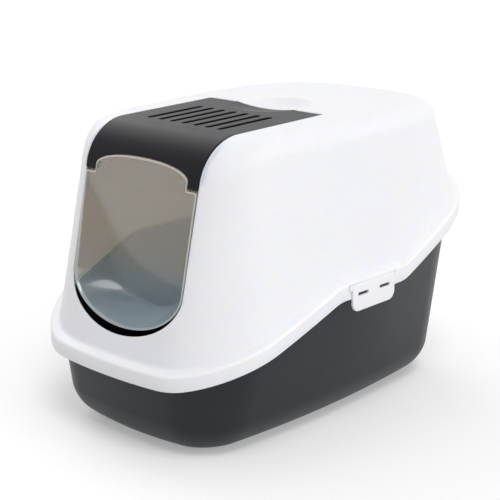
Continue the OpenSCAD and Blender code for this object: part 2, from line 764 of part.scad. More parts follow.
// A bearing behind one of the visor's tabs for the flap's hinge pin
module flap_bearing(side) {
    near = arch_half_wid;
    far = arch_half_wid + bearing_len;
    color("#3a3c3e") on_side(side) difference() {
        bar_x(flap_axis, bearing_r, near, far);
        bar_x(flap_axis, flap_pin_r + pin_gap, near - overrun, far + overrun);
        along_x(opening_wid) brow_band(-overrun, visor_t + seat_gap / 10, opening_rear_y, sill_z);
    }
}

module flap_bearing_left() flap_bearing(-1);
module flap_bearing_right() flap_bearing(1);

// Two lugs under the visor that the filter holder hangs from
module filter_lugs() {
    y = -vent_back + holder_len / 2 + holder_ear_len;
    x = holder_wid / 2 - holder_lug;
    color("#3a3c3e") roof_frame() for (side = [-1, 1]) on_side(side) difference() {
        block(
            [x, y - holder_lug / 2, -visor_t - holder_h],
            [x + holder_lug, y + holder_lug / 2, -visor_t - seat_gap / 10]);
        translate([0, 0, -visor_t - holder_h + holder_lug / 2])
            bar_x([y, 0], holder_pin_r + pin_gap, x - overrun, x + holder_lug + overrun);
    }
}

// The flap's edge seen from the front, as half a ring from the lip's middle to the arch's middle
function flap_edge() =
    let (
        low_h = sill_arc_h - flap_sill_gap + flap_side_gap,
        low_z = sill_arc_z + flap_side_gap,
        arch = arch_half_wid - flap_arch_gap)
    concat(
        [for (i = [0 : lip_steps - 1])
            [flap_half_wid * sin(90 * i / lip_steps), low_z - low_h * cos(90 * i / lip_steps)]],
        run([flap_half_wid, low_z], [flap_half_wid, shoulder_z - seat_gap], end_steps),
        [[flap_half_wid, shoulder_z - seat_gap], [arch, shoulder_z]],
        [for (i = [1 : arch_steps]) arch_point(sin(90 * (1 - i / arch_steps)), flap_arch_gap)]);

// Depth along Y of the front's outer face at a height
function front_y(z) =
    z <= brow_low[1] ? brow_low[0] + (z - brow_low[1]) * tan(front_lean)
    : brow[0] - sqrt(max(0, brow_r * brow_r - pow(z - brow[1], 2)));

// The pane leans inward from where it leaves the front's slope
function pane_y(z) = front_y(max(z, pane_top_z)) + max(0, pane_top_z - z) * tan(pane_lean);

// A point of the flap's edge moved in by the width of the rim
function rim_inside(p) =
    let (middle = [0, sill_arc_z], reach = norm(p - middle))
    middle + (p - middle) * (1 - flap_rim_wid / reach);

// The flap's face: share 0 is its edge in the entrance and 1 is where the fold meets the pane
function flap_point(p, share, back) =
    let (
        low_z = sill_arc_z - sill_arc_h + flap_sill_gap,
        down = max(0, min(1, (pane_top_z - p[1]) / (pane_top_z - low_z))),
        inward = 1 - share * fold_least_share,
        x = p[0] * (inward - share * flap_side_fold / flap_half_wid * down),
        z = sill_arc_z + (p[1] - sill_arc_z) * inward + share * flap_lip_fold * pow(down, lip_power),
        edge = front_y(p[1]),
        y = pane_y(z) + (edge - pane_y(z)) * pow(1 - share, fold_power))
    [x, y + back, z];

module flap_door() {
    half = flap_edge();
    n = len(half);
    whole = concat(half, [for (i = [n - 2 : -1 : 1]) [-half[i][0], half[i][1]]]);
    count = len(whole);
    layers = len(fold_shares);
    face = [for (s = fold_shares) for (p = whole) flap_point(rim_inside(p), s, 0)];
    back = [for (s = fold_shares) for (p = whole) flap_point(p, s, flap_t)];
    points = concat(face, back, [for (p = whole) flap_point(p, 0, 0)]);
    rear = layers * count;
    inner = (layers - 1) * count;
    function at(layer, i) = layer * count + (i + count) % count;
    // A strip of triangles between two layers, and the sheet of triangles across the pane
    function strip(a, b) = [for (i = [0 : count - 1]) each [
        [at(a, i), at(a, i + 1), at(b, i)], [at(a, i + 1), at(b, i + 1), at(b, i)]]];
    function twin(i) = (count - i) % count;
    ladder = concat(
        [[inner, inner + 1, inner + count - 1]],
        [for (i = [1 : n - 3]) each [
            [inner + i, inner + i + 1, inner + twin(i)],
            [inner + i + 1, inner + twin(i + 1), inner + twin(i)]]],
        [[inner + n - 2, inner + n - 1, inner + twin(n - 2)]]);
    front = concat([for (k = [0 : layers - 2]) each strip(k, k + 1)], ladder);
    color([0.62, 0.61, 0.57, 0.45]) polyhedron(points, concat(
        [for (f = front) [f[0], f[2], f[1]]],
        [for (f = front) [f[0] + rear, f[1] + rear, f[2] + rear]],
        strip(0, 2 * layers), strip(2 * layers, layers)));
}

// One of the flap's ears behind the pane, with its hinge pin
module flap_pin(side) {
    inner = arch_half_wid - flap_arch_gap - 2 * ear_len;
    color("#b5b2a8") on_side(side) union() {
        difference() {
            bar_x(flap_axis, ear_r, inner, inner + ear_len);
            front_frame() block(
                [0, -overrun, -2 * overrun],
                [opening_wid, flap_t / cos(front_lean) + 2 * seat_gap, 2 * overrun]);
        }
        bar_x(flap_axis, flap_pin_r, inner, arch_half_wid + flap_pin_len);
    }
}

module flap_pin_left() flap_pin(-1);
module flap_pin_right() flap_pin(1);

// The clip's face, seen from outside
module clip_face() {
    half = clip_wid / 2;
    top = clip_axis[1];
    difference() {
        union() {
            translate([clip_y - half, clip_low_z + clip_corner_r])
                square([clip_wid, top - clip_low_z - clip_corner_r]);
            translate([clip_y - half + clip_corner_r, clip_low_z])
                square([clip_wid - 2 * clip_corner_r, clip_corner_r]);
            for (end = [-1, 1])
                translate([clip_y + end * (half - clip_corner_r), clip_low_z + clip_corner_r])
                    circle(clip_corner_r, $fn = round_facets);
        }
        for (end = [-1, 1])
            translate([clip_y + end * clip_slot_pitch / 2, land_z + clip_slot_rise])
                square([clip_slot_wid, clip_slot_h], center = true);
    }
}

module side_clip(side) {
    hook_z = land_z + clip_slot_rise + clip_slot_h / 2;
    hook_x = flange_wid / 2 - lip_inset + clip_gap;
    back_x = clip_face_x - clip_t;
    pins_len = clip_wid + 2 * (clip_gap + clip_pin_len);
    color("#f1f1f2") on_side(side) {
        translate([back_x, 0, 0]) rotate([90, 0, 90]) linear_extrude(clip_t) clip_face();
        for (end = [-1, 1])
            block(
                [hook_x, clip_y + end * clip_slot_pitch / 2 - clip_slot_wid / 2, hook_z],
                [back_x, clip_y + end * clip_slot_pitch / 2 + clip_slot_wid / 2, hook_z + clip_hook_t]);
        translate([clip_axis[0], clip_y, clip_axis[1]]) rotate([90, 0, 0]) {
            cylinder(clip_wid, r = clip_barrel_r, center = true, $fn = round_facets);
            cylinder(pins_len, r = clip_pin_r, center = true, $fn = hole_facets);
        }
    }
}

module side_clip_left() side_clip(-1);
module side_clip_right() side_clip(1);

module filter_holder() {
    half = holder_wid / 2 - holder_lug - holder_side_gap;
    floor_z = -visor_t - holder_h;
    front = -vent_back - holder_len / 2;
    rear = -vent_back + holder_len / 2;
    cell_x = (holder_wid - 2 * holder_wall + grid_bar) / grid_across;
    cell_y = (holder_len - 2 * holder_wall + grid_bar) / grid_along;
    pin_y = rear + holder_ear_len;
    color("#4a4c4e") roof_frame() {
        difference() {
            block([-holder_wid / 2, front, floor_z], [holder_wid / 2, rear, -visor_t - seat_gap]);
            block(
                [-holder_wid / 2 + holder_wall, front + holder_wall, floor_z + holder_wall],
                [holder_wid / 2 - holder_wall, rear - holder_wall, overrun]);
            for (i = [0 : grid_across - 1]) for (j = [0 : grid_along - 1])
                translate([
                    -holder_wid / 2 + holder_wall + i * cell_x,
                    front + holder_wall + j * cell_y,
                    floor_z - overrun])
                    cube([cell_x - grid_bar, cell_y - grid_bar, 2 * overrun]);
        }
        for (side = [-1, 1]) on_side(side) {
            block(
                [half - holder_lug, rear, floor_z],
                [half, pin_y + holder_lug / 2, floor_z + holder_lug]);
            translate([0, 0, floor_z + holder_lug / 2])
                bar_x(
                    [pin_y, 0], holder_pin_r,
                    half - holder_lug, half + holder_side_gap + holder_pin_len);
        }
    }
}

module carbon_filter() {
    gap = holder_wall + seat_gap;
    floor_z = -visor_t - holder_h + holder_wall + seat_gap;
    color("#2a2b2c") roof_frame() block(
        [-holder_wid / 2 + gap, -vent_back - holder_len / 2 + gap, floor_z],
        [holder_wid / 2 - gap, -vent_back + holder_len / 2 - gap, floor_z + filter_t]);
}

litter_tray();
hood_shell();
visor_socket_left();
visor_socket_right();
clip_lugs_left();
clip_lugs_right();
front_visor();
visor_knuckle_left();
visor_knuckle_right();
flap_bearing_left();
flap_bearing_right();
filter_lugs();
flap_door();
flap_pin_left();
flap_pin_right();
side_clip_left();
side_clip_right();
filter_holder();
carbon_filter();
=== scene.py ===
# %% [markdown]
# # A hooded litter box, dressed in Blender
#
# The construction model gives every piece its place, its size and the way it moves. This lesson
# loads that model as a fixed frame, replaces its faceted shells by smooth ones, and gives every
# surface a moulded-plastic finish. All the new shapes are worked out as whole numpy arrays.

# %% Load the frame and note its box
import math

import bmesh
import bpy
import numpy as np
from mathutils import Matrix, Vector
from mathutils.geometry import delaunay_2d_cdt


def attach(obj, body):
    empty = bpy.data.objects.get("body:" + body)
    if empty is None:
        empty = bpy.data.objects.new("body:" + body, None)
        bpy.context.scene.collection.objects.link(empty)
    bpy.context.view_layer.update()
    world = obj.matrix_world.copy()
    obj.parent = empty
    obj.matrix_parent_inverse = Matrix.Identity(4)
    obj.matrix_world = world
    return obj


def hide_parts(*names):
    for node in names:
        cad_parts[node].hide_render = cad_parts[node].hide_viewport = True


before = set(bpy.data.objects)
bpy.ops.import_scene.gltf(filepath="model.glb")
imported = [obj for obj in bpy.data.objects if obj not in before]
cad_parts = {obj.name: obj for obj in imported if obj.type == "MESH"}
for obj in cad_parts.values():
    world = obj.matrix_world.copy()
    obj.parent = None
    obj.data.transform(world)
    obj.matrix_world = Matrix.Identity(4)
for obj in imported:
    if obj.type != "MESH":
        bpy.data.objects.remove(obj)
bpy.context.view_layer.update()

# %% [markdown]
# ## The sizes
#
# The smooth shells follow the same rules as the construction model, so they repeat its sizes, in
# millimetres. The front faces -Y, +X is to the right of a viewer who faces the front, and the
# origin is on the floor under the middle of the box.

# %% Sizes of the flange and of the rim that it follows
MM = 0.001
# The flange seen from above: length and width, corner radii, and how far its sides bow out
FLANGE_LEN, FLANGE_WID = 578.0, 388.0
FRONT_CORNER, BACK_CORNER, LEAST_CORNER = 98.0, 126.0, 10.0
FRONT_BOW, BACK_BOW, SIDE_BOW = 18.0, 30.0, 26.0
# The rim's heights at the front, at the level land for the clips and at the back, and its slope
RIM_FRONT, LAND_Z, RIM_BACK = 94.0, 175.5, 243.0
LAND_FRONT_Y, LAND_BACK_Y, RIM_SLOPE = -79.0, 46.0, 0.4
# Half the length of the curve at each bend of the rim
RIM_BLEND, RIM_BACK_BLEND = 10.0, 45.0
RISE_START_Y = LAND_FRONT_Y - (LAND_Z - RIM_FRONT) / RIM_SLOPE
RISE_END_Y = LAND_BACK_Y + (RIM_BACK - LAND_Z) / RIM_SLOPE
# The flange's profile: its wall, height, ledge, rounded edge and the fillet under the hood's wall
HOOD_WALL, SKIRT, LEDGE, LEDGE_RISE, EDGE_R, FILLET = 2.5, 20.0, 12.5, 1.0, 3.5, 4.0
# The gap at the seat on the tray, and the gap round the visor
SEAT, GAP = 0.3, 0.4
print("the rim rises from y", round(RISE_START_Y, 1), "to y", round(RISE_END_Y, 1))

# %% Sizes of the shoulders, the roof and the entrance
# The shoulders: width, back end, radius, and the corners and bow of their plan
SHOULDER_WID, SHOULDER_BACK, SHOULDER_R = 324.0, 240.0, 24.0
SHOULDER_FRONT_CORNER, SHOULDER_BACK_CORNER, SHOULDER_FRONT_BOW = 60.0, 74.0, 3.0
# The roof's heights at the visor's rear edge and at the back, and its fall at the sides
ROOF_REAR_Z, ROOF_BACK_Z, ROOF_CROWN = 381.7, 377.0, 6.0
# The entrance: its width, its rear edge on the roof, its sill and the height of the sill's curve
OPEN_WID, OPEN_REAR = 194.0, -3.6
SILL_Z, SILL_ARC = 141.0, 60.0
# How far the walls lean in
SIDE_LEAN, BACK_LEAN, FRONT_LEAN = math.radians(7), math.radians(20), math.radians(11.9)
# The finger dish, the power of its curve and the softness of its rim
DISH_WID, DISH_LEN, DISH_Y, DISH_DEPTH, DISH_POWER, DISH_RIM = 100.0, 112.0, 10.0, 16.0, 3.5, 1.6
print("entrance", OPEN_WID, "mm wide over a sill at", SILL_Z, "mm")

# %% The brow's circle, seen from the side as (y, z)
BROW_R = 63.4
# Where the roof's line and the front's line would meet
MEET = np.array([-213.0, 377.7])
ROOF_SLOPE = math.atan((ROOF_REAR_Z - MEET[1]) / (OPEN_REAR - MEET[0]))
roof_out = np.array([-math.sin(ROOF_SLOPE), math.cos(ROOF_SLOPE)])
front_out = np.array([-math.cos(FRONT_LEAN), math.sin(FRONT_LEAN)])
front_up = np.array([math.sin(FRONT_LEAN), math.cos(FRONT_LEAN)])
BROW = MEET - (roof_out + front_out) * BROW_R / (1 + roof_out @ front_out)
BROW_TOP, BROW_LOW = BROW + roof_out * BROW_R, BROW + front_out * BROW_R
# The flap's axis lies this far behind the front's face and above the brow's lower end
AXIS_IN, AXIS_UP = 4.2, 1.0
FLAP_AXIS = BROW_LOW - front_out * AXIS_IN + front_up * AXIS_UP
print("brow centre:", BROW.round(2), "flap axis:", FLAP_AXIS.round(2))

# %% [markdown]
# ## From rings of points to a mesh
#
# Most shells here are lofts: one closed outline is carried up through many levels. A loft is a
# table of points, one row for each level, so its faces follow from the table's shape alone.

# %% Helpers: blending, grids and pieces
# An edge whose faces turn by more degrees than this stays sharp
CREASE = 35


def smooth(t):
    """3t^2 - 2t^3 for t held between 0 and 1, so it starts and ends level."""
    u = np.clip(t, 0, 1)
    return u * u * (3 - 2 * u)


def soft_ramp(t, w):
    """A ramp of slope 1 from t = 0. Within w of its start it is the parabola (t + w)^2 / 4w."""
    return np.where(t <= -w, 0.0, np.where(t >= w, t, (t + w) ** 2 / (4 * w)))


def grid_faces(rows, cols, closed):
    """Quads between neighbours of a table of rows by cols points, joined end to end if closed."""
    k, i = np.meshgrid(np.arange(rows - 1), np.arange(cols if closed else cols - 1), indexing="ij")
    j = (i + 1) % cols
    corners = [k * cols + i, k * cols + j, (k + 1) * cols + j, (k + 1) * cols + i]
    return np.stack(corners, -1).reshape(-1, 4).tolist()


def new_piece(name, points, faces, crease=CREASE):
    """A mesh object at the origin from points in millimetres, smooth but for creases over an angle."""
    mesh = bpy.data.meshes.new(name)
    mesh.from_pydata((np.asarray(points) * MM).tolist(), [], faces)
    mesh.validate()
    mesh.shade_smooth()
    mesh.set_sharp_from_angle(angle=math.radians(crease))
    piece = bpy.data.objects.new(name, mesh)
    bpy.context.scene.collection.objects.link(piece)
    return piece


def loft(name, rings, first, last, crease=CREASE):
    """A closed skin over rings (levels, points, 3), with a fan of triangles to a point at each end."""
    levels, count, _ = rings.shape
    points = np.vstack([rings.reshape(-1, 3), first, last])
    i = np.arange(count)
    j = (i + 1) % count
    start, end, top = levels * count, levels * count + 1, (levels - 1) * count
    fans = np.vstack([
        np.stack([j, i, np.full(count, start)], -1),
        np.stack([top + i, top + j, np.full(count, end)], -1)])
    return new_piece(name, points, grid_faces(levels, count, True) + fans.tolist(), crease)


def stand_for(piece, body, node):
    """Lets a piece ride on a body and replace a construction node, which is hidden."""
    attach(piece, body)
    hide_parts(node)


print("a soft ramp of 10 at its start, its middle and its end:", soft_ramp(np.array([-10, 0, 10]), 10))

# %% [markdown]
# ## The outline that everything follows
#
# Seen from above, tray, flange and shoulders are rounded rectangles whose sides bow out. Each point
# (x, y) of the plain rounded rectangle is moved: with u = x / half width and v = y / half length,
# x becomes u (half width - side bow v^2) and y becomes v (half length - end bow u^2).

# %% The bowed rounded rectangle, for many levels at once
# Points along a corner, an end and a side
CORNER, END, SIDE = 24, 30, 84
way = np.radians(np.concatenate([
    np.linspace(0, 90, CORNER, endpoint=False), np.full(END, 90.0),
    np.linspace(90, 180, CORNER, endpoint=False), np.full(SIDE, 180.0),
    np.linspace(180, 270, CORNER, endpoint=False), np.full(END, 270.0),
    np.linspace(270, 360, CORNER, endpoint=False), np.full(SIDE, 360.0)]))


def plan_rings(hx, yf, yb, rf, rb, bf, bb, bs):
    """x and y of the bowed rounded rectangle, one row for each level.

    hx is the half width, yf and yb the front and the back, rf and rb the corner radii, and bf, bb
    and bs the bows of the front, the back and the sides. The first five may be arrays of levels.
    """
    hx, yf, yb, rf, rb = (np.atleast_1d(np.asarray(v, float))[:, None] for v in (hx, yf, yb, rf, rb))
    hx, yf, yb, rf, rb = np.broadcast_arrays(hx, yf, yb, rf, rb)
    turn = np.linspace(0, math.pi / 2, CORNER, endpoint=False)[None]

    def arc(cx, cy, r, start):
        return cx + r * np.cos(turn + start), cy + r * np.sin(turn + start)

    def line(ax, ay, bx, by, steps):
        t = np.linspace(0, 1, steps, endpoint=False)[None]
        return ax + (bx - ax) * t, ay + (by - ay) * t

    parts = [
        arc(hx - rb, yb - rb, rb, 0), line(hx - rb, yb, rb - hx, yb, END),
        arc(rb - hx, yb - rb, rb, math.pi / 2), line(-hx, yb - rb, -hx, yf + rf, SIDE),
        arc(rf - hx, yf + rf, rf, math.pi), line(rf - hx, yf, hx - rf, yf, END),
        arc(hx - rf, yf + rf, rf, 1.5 * math.pi), line(hx, yf + rf, hx, yb - rb, SIDE)]
    x = np.concatenate([np.broadcast_to(p[0], (len(hx), p[0].shape[1])) for p in parts], 1)
    y = np.concatenate([np.broadcast_to(p[1], (len(hx), p[1].shape[1])) for p in parts], 1)
    middle, half = (yf + yb) / 2, (yb - yf) / 2
    u, v = x / hx, (y - middle) / half
    return u * (hx - bs * v * v), middle + v * (half - np.where(v > 0, bb, bf) * u * u)


def rim_z(y):
    """Height of the hood's lower edge: a low front, a slope, a level land, a slope and a high back."""
    return RIM_FRONT + RIM_SLOPE * (
        soft_ramp(y - RISE_START_Y, RIM_BLEND) - soft_ramp(y - LAND_FRONT_Y, RIM_BLEND)
        + soft_ramp(y - LAND_BACK_Y, RIM_BLEND) - soft_ramp(y - RISE_END_Y, RIM_BACK_BLEND))


def flange_rings(inset, rise):
    """The flange's outline moved in by inset, at a height above the rim, for arrays of both."""
    inset = np.atleast_1d(np.asarray(inset, float))
    x, y = plan_rings(
        FLANGE_WID / 2 - inset, inset - FLANGE_LEN / 2, FLANGE_LEN / 2 - inset,
        np.maximum(FRONT_CORNER - inset, LEAST_CORNER), np.maximum(BACK_CORNER - inset, LEAST_CORNER),
        FRONT_BOW, BACK_BOW, SIDE_BOW)
    return np.stack([x, y, rim_z(y) + np.atleast_1d(rise)[:, None]], -1)


print("points round one ring:", len(way), "| rim height at the land:", float(rim_z(np.array(-20.0))))

# %% [markdown]
# ## The tray
#
# On the real object this is one deep injection-moulded tub, with a large radius round its flat
# bottom and a stiff turned-down lip that the hood sits on. A modeller could sculpt it from a box,
# but a loft is exact: quarter-circle levels for the bottom edge, straight walls, then the lip's
# profile, and the same again inside.

# %% The tray's sizes
# Its wall, the radius of its bottom edge and the lean at which that edge meets the wall
TRAY_WALL, TRAY_EDGE, TRAY_LEAN = 2.5, 55.0, math.radians(12)
# The plan at the level where the bottom edge would end upright
TRAY_HALF_WID, TRAY_FRONT, TRAY_BACK, TRAY_CORNER, TRAY_BOW = 152.5, -269.0, 227.0, 66.0, 15.0
TRAY_EDGE_LEVELS, TRAY_WALL_LEVELS = 22, 26
# The lip: its top above the rim, its inset, thickness and depth, and the inset of the wall under it
LIP_TOP, LIP_IN, LIP_T, BEAD_H, TRAY_INSET = SKIRT - HOOD_WALL - SEAT, 7.5, 2.5, 8.0, 14.0
# The lip's rounded upper edge, the chamfer of its lower edge, and where its side begins
LIP_R, BEAD_CHAMFER, BEAD_CHAMFER_H, LIP_SIDE = 1.2, 0.1, 0.6, 1.6
LIP_LEVELS = 7
print("lip of the tray:", round(LIP_TOP, 2), "mm above the rim, turned down by", BEAD_H, "mm")

# %% Loft the tray


def tray_low_rings(turn, inset):
    """Levels of the rounded bottom edge: a quarter circle of the edge radius, less the inset."""
    r = TRAY_EDGE - inset
    back = TRAY_EDGE - r * np.cos(turn)
    corner = np.maximum(TRAY_CORNER - back, LEAST_CORNER)
    x, y = plan_rings(
        TRAY_HALF_WID - back, TRAY_FRONT + back, TRAY_BACK - back, corner, corner,
        TRAY_BOW, TRAY_BOW, TRAY_BOW)
    return np.stack([x, y, np.broadcast_to((TRAY_EDGE - r * np.sin(turn))[:, None], x.shape)], -1)


def tray_face(inset, rise):
    """One face of the tray from its bottom up: the round edge, then a straight blend to the rim."""
    low = tray_low_rings(np.linspace(math.pi / 2, TRAY_LEAN, TRAY_EDGE_LEVELS), inset)
    top = flange_rings(TRAY_INSET + inset, rise)
    s = np.linspace(0, 1, TRAY_WALL_LEVELS)[1:, None, None]
    return np.concatenate([low, low[-1:] * (1 - s) + top * s])


quarter = np.linspace(0, math.pi / 2, LIP_LEVELS)
lip_in = LIP_IN + np.concatenate([
    [LIP_T, LIP_T - BEAD_CHAMFER, LIP_T / 2, BEAD_CHAMFER, 0], LIP_R * (1 - np.cos(quarter))])
lip_rise = LIP_TOP + np.concatenate([
    [-LIP_T, BEAD_CHAMFER_H - BEAD_H, -BEAD_H, BEAD_CHAMFER_H - BEAD_H, -LIP_SIDE],
    -LIP_R + LIP_R * np.sin(quarter)])
tray_rings = np.concatenate([
    tray_face(0.0, LIP_TOP - LIP_T), flange_rings(lip_in, lip_rise), tray_face(TRAY_WALL, LIP_TOP)[::-1]])
tray_middle = (TRAY_FRONT + TRAY_BACK) / 2
tray = loft("tray", tray_rings, [0, tray_middle, 0], [0, tray_middle, TRAY_WALL])
stand_for(tray, "tray", "litter_tray")
highest = round(float(tray_rings[..., 2].max()), 1)
print("tray faces:", len(tray.data.polygons), "| top of the lip at the back:", highest)

# %% [markdown]
# ## The hood
#
# The hood is a single white moulding. Its flange is a channel that drops over the tray's lip; above
# it the walls lean in to a soft shoulder and a nearly level roof. The brow over the entrance is a
# larger circle. It could be a bevelled block, but the bevel would have one radius. So each shoulder
# level turns by its own angle at the sides, the front and the back, and the three are blended by
# the direction in which a point of the ring faces.

# %% The roof and the shoulders as levels


def roof_z(x, y):
    """Height of the roof: a gentle slope, less a parabola towards the back and one at the sides."""
    reach = SHOULDER_BACK - OPEN_REAR
    back = np.maximum(0, y - OPEN_REAR) / reach
    side = np.maximum(0, np.abs(x) - OPEN_WID / 2) / (SHOULDER_WID / 2 - OPEN_WID / 2)
    rise = math.tan(ROOF_SLOPE)
    fall = ROOF_REAR_Z + rise * reach - ROOF_BACK_Z
    return ROOF_REAR_Z + rise * (y - OPEN_REAR) - fall * back ** 2 - ROOF_CROWN * side ** 2


def shoulder_angles(f):
    """How far the side, front and back have turned towards level at a share f of the shoulder."""
    level = math.pi / 2
    return (SIDE_LEAN + (level - SIDE_LEAN) * f, FRONT_LEAN + (level - ROOF_SLOPE - FRONT_LEAN) * f,
            BACK_LEAN + (level - BACK_LEAN) * f)


def shoulder_plan(f, inset):
    """The shoulder's outline from above: each arc's centre plus its radius times the cosine of its turn."""
    side, front, back = shoulder_angles(f)
    turned = SHOULDER_R * (1 - np.cos(side))
    return plan_rings(
        SHOULDER_WID / 2 - SHOULDER_R + (SHOULDER_R - inset) * np.cos(side),
        BROW[0] - SHOULDER_FRONT_BOW / 2 - (BROW_R - inset) * np.cos(front),
        SHOULDER_BACK - SHOULDER_R + (SHOULDER_R - inset) * np.cos(back),
        SHOULDER_FRONT_CORNER - turned, SHOULDER_BACK_CORNER - turned - inset,
        SHOULDER_FRONT_BOW, BACK_BOW, SIDE_BOW)


def shoulder_rings(f, inset):
    """The same with heights: below the roof's edge by the radius times 1 less the sine of the turn."""
    f = np.atleast_1d(f)
    x, y = shoulder_plan(f, inset)
    roof_x, roof_y = shoulder_plan(np.ones(1), inset)
    front_part, back_part = smooth(-np.sin(way))[None], smooth(np.sin(way))[None]
    radius = SHOULDER_R * (1 - front_part) + BROW_R * front_part - inset
    side, front, back = (np.sin(a)[:, None] for a in shoulder_angles(f))
    turn = side * (1 - front_part - back_part) + front * front_part + back * back_part
    return np.stack([x, y, roof_z(roof_x, roof_y) - inset - radius * (1 - turn)], -1)


print("roof heights at the brow, the dish and the back:", roof_z(0, np.array([-150, DISH_Y, 200])).round(1))

# %% [markdown]
# ### The finger dish
#
# Fingers reach into an oval dish in the roof to carry the hood or lift the visor. A dish could be
# cut out and patched, but the rings of the roof can simply turn into ovals and go down into it, so
# the skin stays in one piece.

# %% The roof's rings run on into the dish
ROOF_LEVELS, DISH_RIM_LEVELS, DISH_BOWL_LEVELS = 26, 15, 28
# Shares of the dish's size: the roof ends at the first, close levels round the rim, then the bowl
DISH_EDGE_SHARE, RIM_SHARES, BOWL_SHARES = 1.05, (1.04, 0.9), (0.88, 0.04)
dish_shares = np.concatenate([
    np.linspace(*RIM_SHARES, DISH_RIM_LEVELS), np.linspace(*BOWL_SHARES, DISH_BOWL_LEVELS)])


def oval(s, grow=0.0):
    """x and y of the dish's oval at shares s of its size, one point for each point of the roof's edge."""
    x, y = shoulder_plan(np.ones(1), 0.0)
    a = np.arctan2(y - DISH_Y, x)
    s = np.atleast_1d(s)[:, None]
    return (DISH_WID / 2 + grow) * s * np.cos(a), DISH_Y + (DISH_LEN / 2 + grow) * s * np.sin(a)


def dish_rings(s, inset):
    """At a share s of its radius the dish is its depth times (1 - s^3.5) deep, with a rounded rim."""
    x, y = oval(s, inset)
    depth = soft_ramp(DISH_DEPTH * (1 - np.atleast_1d(s) ** DISH_POWER), DISH_RIM)[:, None]
    return np.stack([x, y, roof_z(x, y) - depth - inset], -1)


def roof_rings(s, inset):
    """The roof's levels, drawn in from its edge to just outside the dish by shares s."""
    edge_x, edge_y = shoulder_plan(np.ones(1), inset)
    oval_x, oval_y = oval(DISH_EDGE_SHARE, inset)
    s = s[:, None]
    x, y = edge_x * (1 - s) + oval_x * s, edge_y * (1 - s) + oval_y * s
    return np.stack([x, y, roof_z(x, y) - inset], -1)


print("levels in the dish:", len(dish_shares), "| its depth in the middle:", DISH_DEPTH, "mm")

# %% [markdown]
# ### The hood's two faces
#
# A moulding has an outer and an inner face about one wall apart. Solidify could make the second
# from the first, but it would bulge in the flange's tight corners. So both are worked out from the
# same functions with an inset of nothing and of one wall, and joined by a half circle below.

# %% Loft the hood, rounded along its lower edge
WALL_LEVELS, SHOULDER_LEVELS, EDGE_LEVELS, FOOT_LEVELS = 30, 22, 8, 7
# Shares of the wall by which the inner edge's radius shrinks and the inner fillet's grows
EDGE_SHRINK_SHARE, FILLET_GROWTH_SHARE = 0.6, 0.2


def hood_face(inset):
    """One face of the hood, from the wall's foot over shoulders and roof to the bottom of the dish."""
    foot = flange_rings(LEDGE + inset, SKIRT + LEDGE_RISE + FILLET)
    top = shoulder_rings(0.0, inset)
    s = np.linspace(0, 1, WALL_LEVELS)[:-1, None, None]
    return np.concatenate([
        foot * (1 - s) + top * s, shoulder_rings(np.linspace(0, 1, SHOULDER_LEVELS), inset),
        roof_rings(np.linspace(0, 1, ROOF_LEVELS)[1:], inset), dish_rings(dish_shares, inset)])


def flange_face(w):
    """The flange's profile at a depth w: its face, upper edge, ledge and the fillet under the wall."""
    q = np.linspace(0, math.pi / 2, EDGE_LEVELS)
    edge, fillet = EDGE_R - w * EDGE_SHRINK_SHARE, FILLET + w * FILLET_GROWTH_SHARE
    inset = np.concatenate([
        [w, w], w + edge * (1 - np.cos(q)), LEDGE + w - fillet + fillet * np.sin(q)[:-1]])
    rise = np.concatenate([
        [HOOD_WALL / 2, SKIRT / 2], SKIRT - w - edge + edge * np.sin(q),
        SKIRT + LEDGE_RISE - w + (fillet + w * (1 - FILLET_GROWTH_SHARE)) * (1 - np.cos(q))[:-1]])
    return flange_rings(inset, rise)


a = np.linspace(0, math.pi, FOOT_LEVELS)[1:-1]
lower_edge = flange_rings(HOOD_WALL / 2 * (1 + np.cos(a)), HOOD_WALL / 2 * (1 - np.sin(a)))
hood_rings = np.concatenate([
    hood_face(HOOD_WALL)[::-1], flange_face(HOOD_WALL)[::-1], lower_edge, flange_face(0.0), hood_face(0.0)])
dish_bottom = float(roof_z(0, DISH_Y)) - DISH_DEPTH
hood = loft("hood", hood_rings, [0, DISH_Y, dish_bottom - HOOD_WALL], [0, DISH_Y, dish_bottom])
print("hood faces:", len(hood.data.polygons), "highest point:", round(float(hood_rings[..., 2].max()), 2))

# %% [markdown]
# ### Openings in the hood
#
# The mould leaves three kinds of openings: the tall entrance with its rounded sill, which runs on
# over the brow to the visor's rear edge, the room for the visor's turning edge, and a notch in the
# flange on each side for the clip. The front of the dish stays, under the visor. Straight solids
# are cut out with the Boolean modifier, as drills and cutters would on a bench.

# %% Helpers: straight solids and cuts


def settle(piece, crease=CREASE):
    """Works out a piece's modifiers, keeps the resulting mesh, and marks its creases again."""
    depsgraph = bpy.context.evaluated_depsgraph_get()
    done = bpy.data.meshes.new_from_object(piece.evaluated_get(depsgraph))
    piece.modifiers.clear()
    old, piece.data = piece.data, done
    done.name = piece.name
    bpy.data.meshes.remove(old)
    done.shade_smooth()
    done.set_sharp_from_angle(angle=math.radians(crease))
    return piece


def cut(piece, *cutters):
    """Takes the cutters' solids out of a piece and deletes them."""
    for cutter in cutters:
        step = piece.modifiers.new("cut", "BOOLEAN")
        step.operation, step.object, step.solver = "DIFFERENCE", cutter, "MANIFOLD"
    settle(piece)
    for cutter in cutters:
        bpy.data.objects.remove(cutter)
    print(piece.name, "after its cuts:", len(piece.data.polygons), "faces")
    return piece


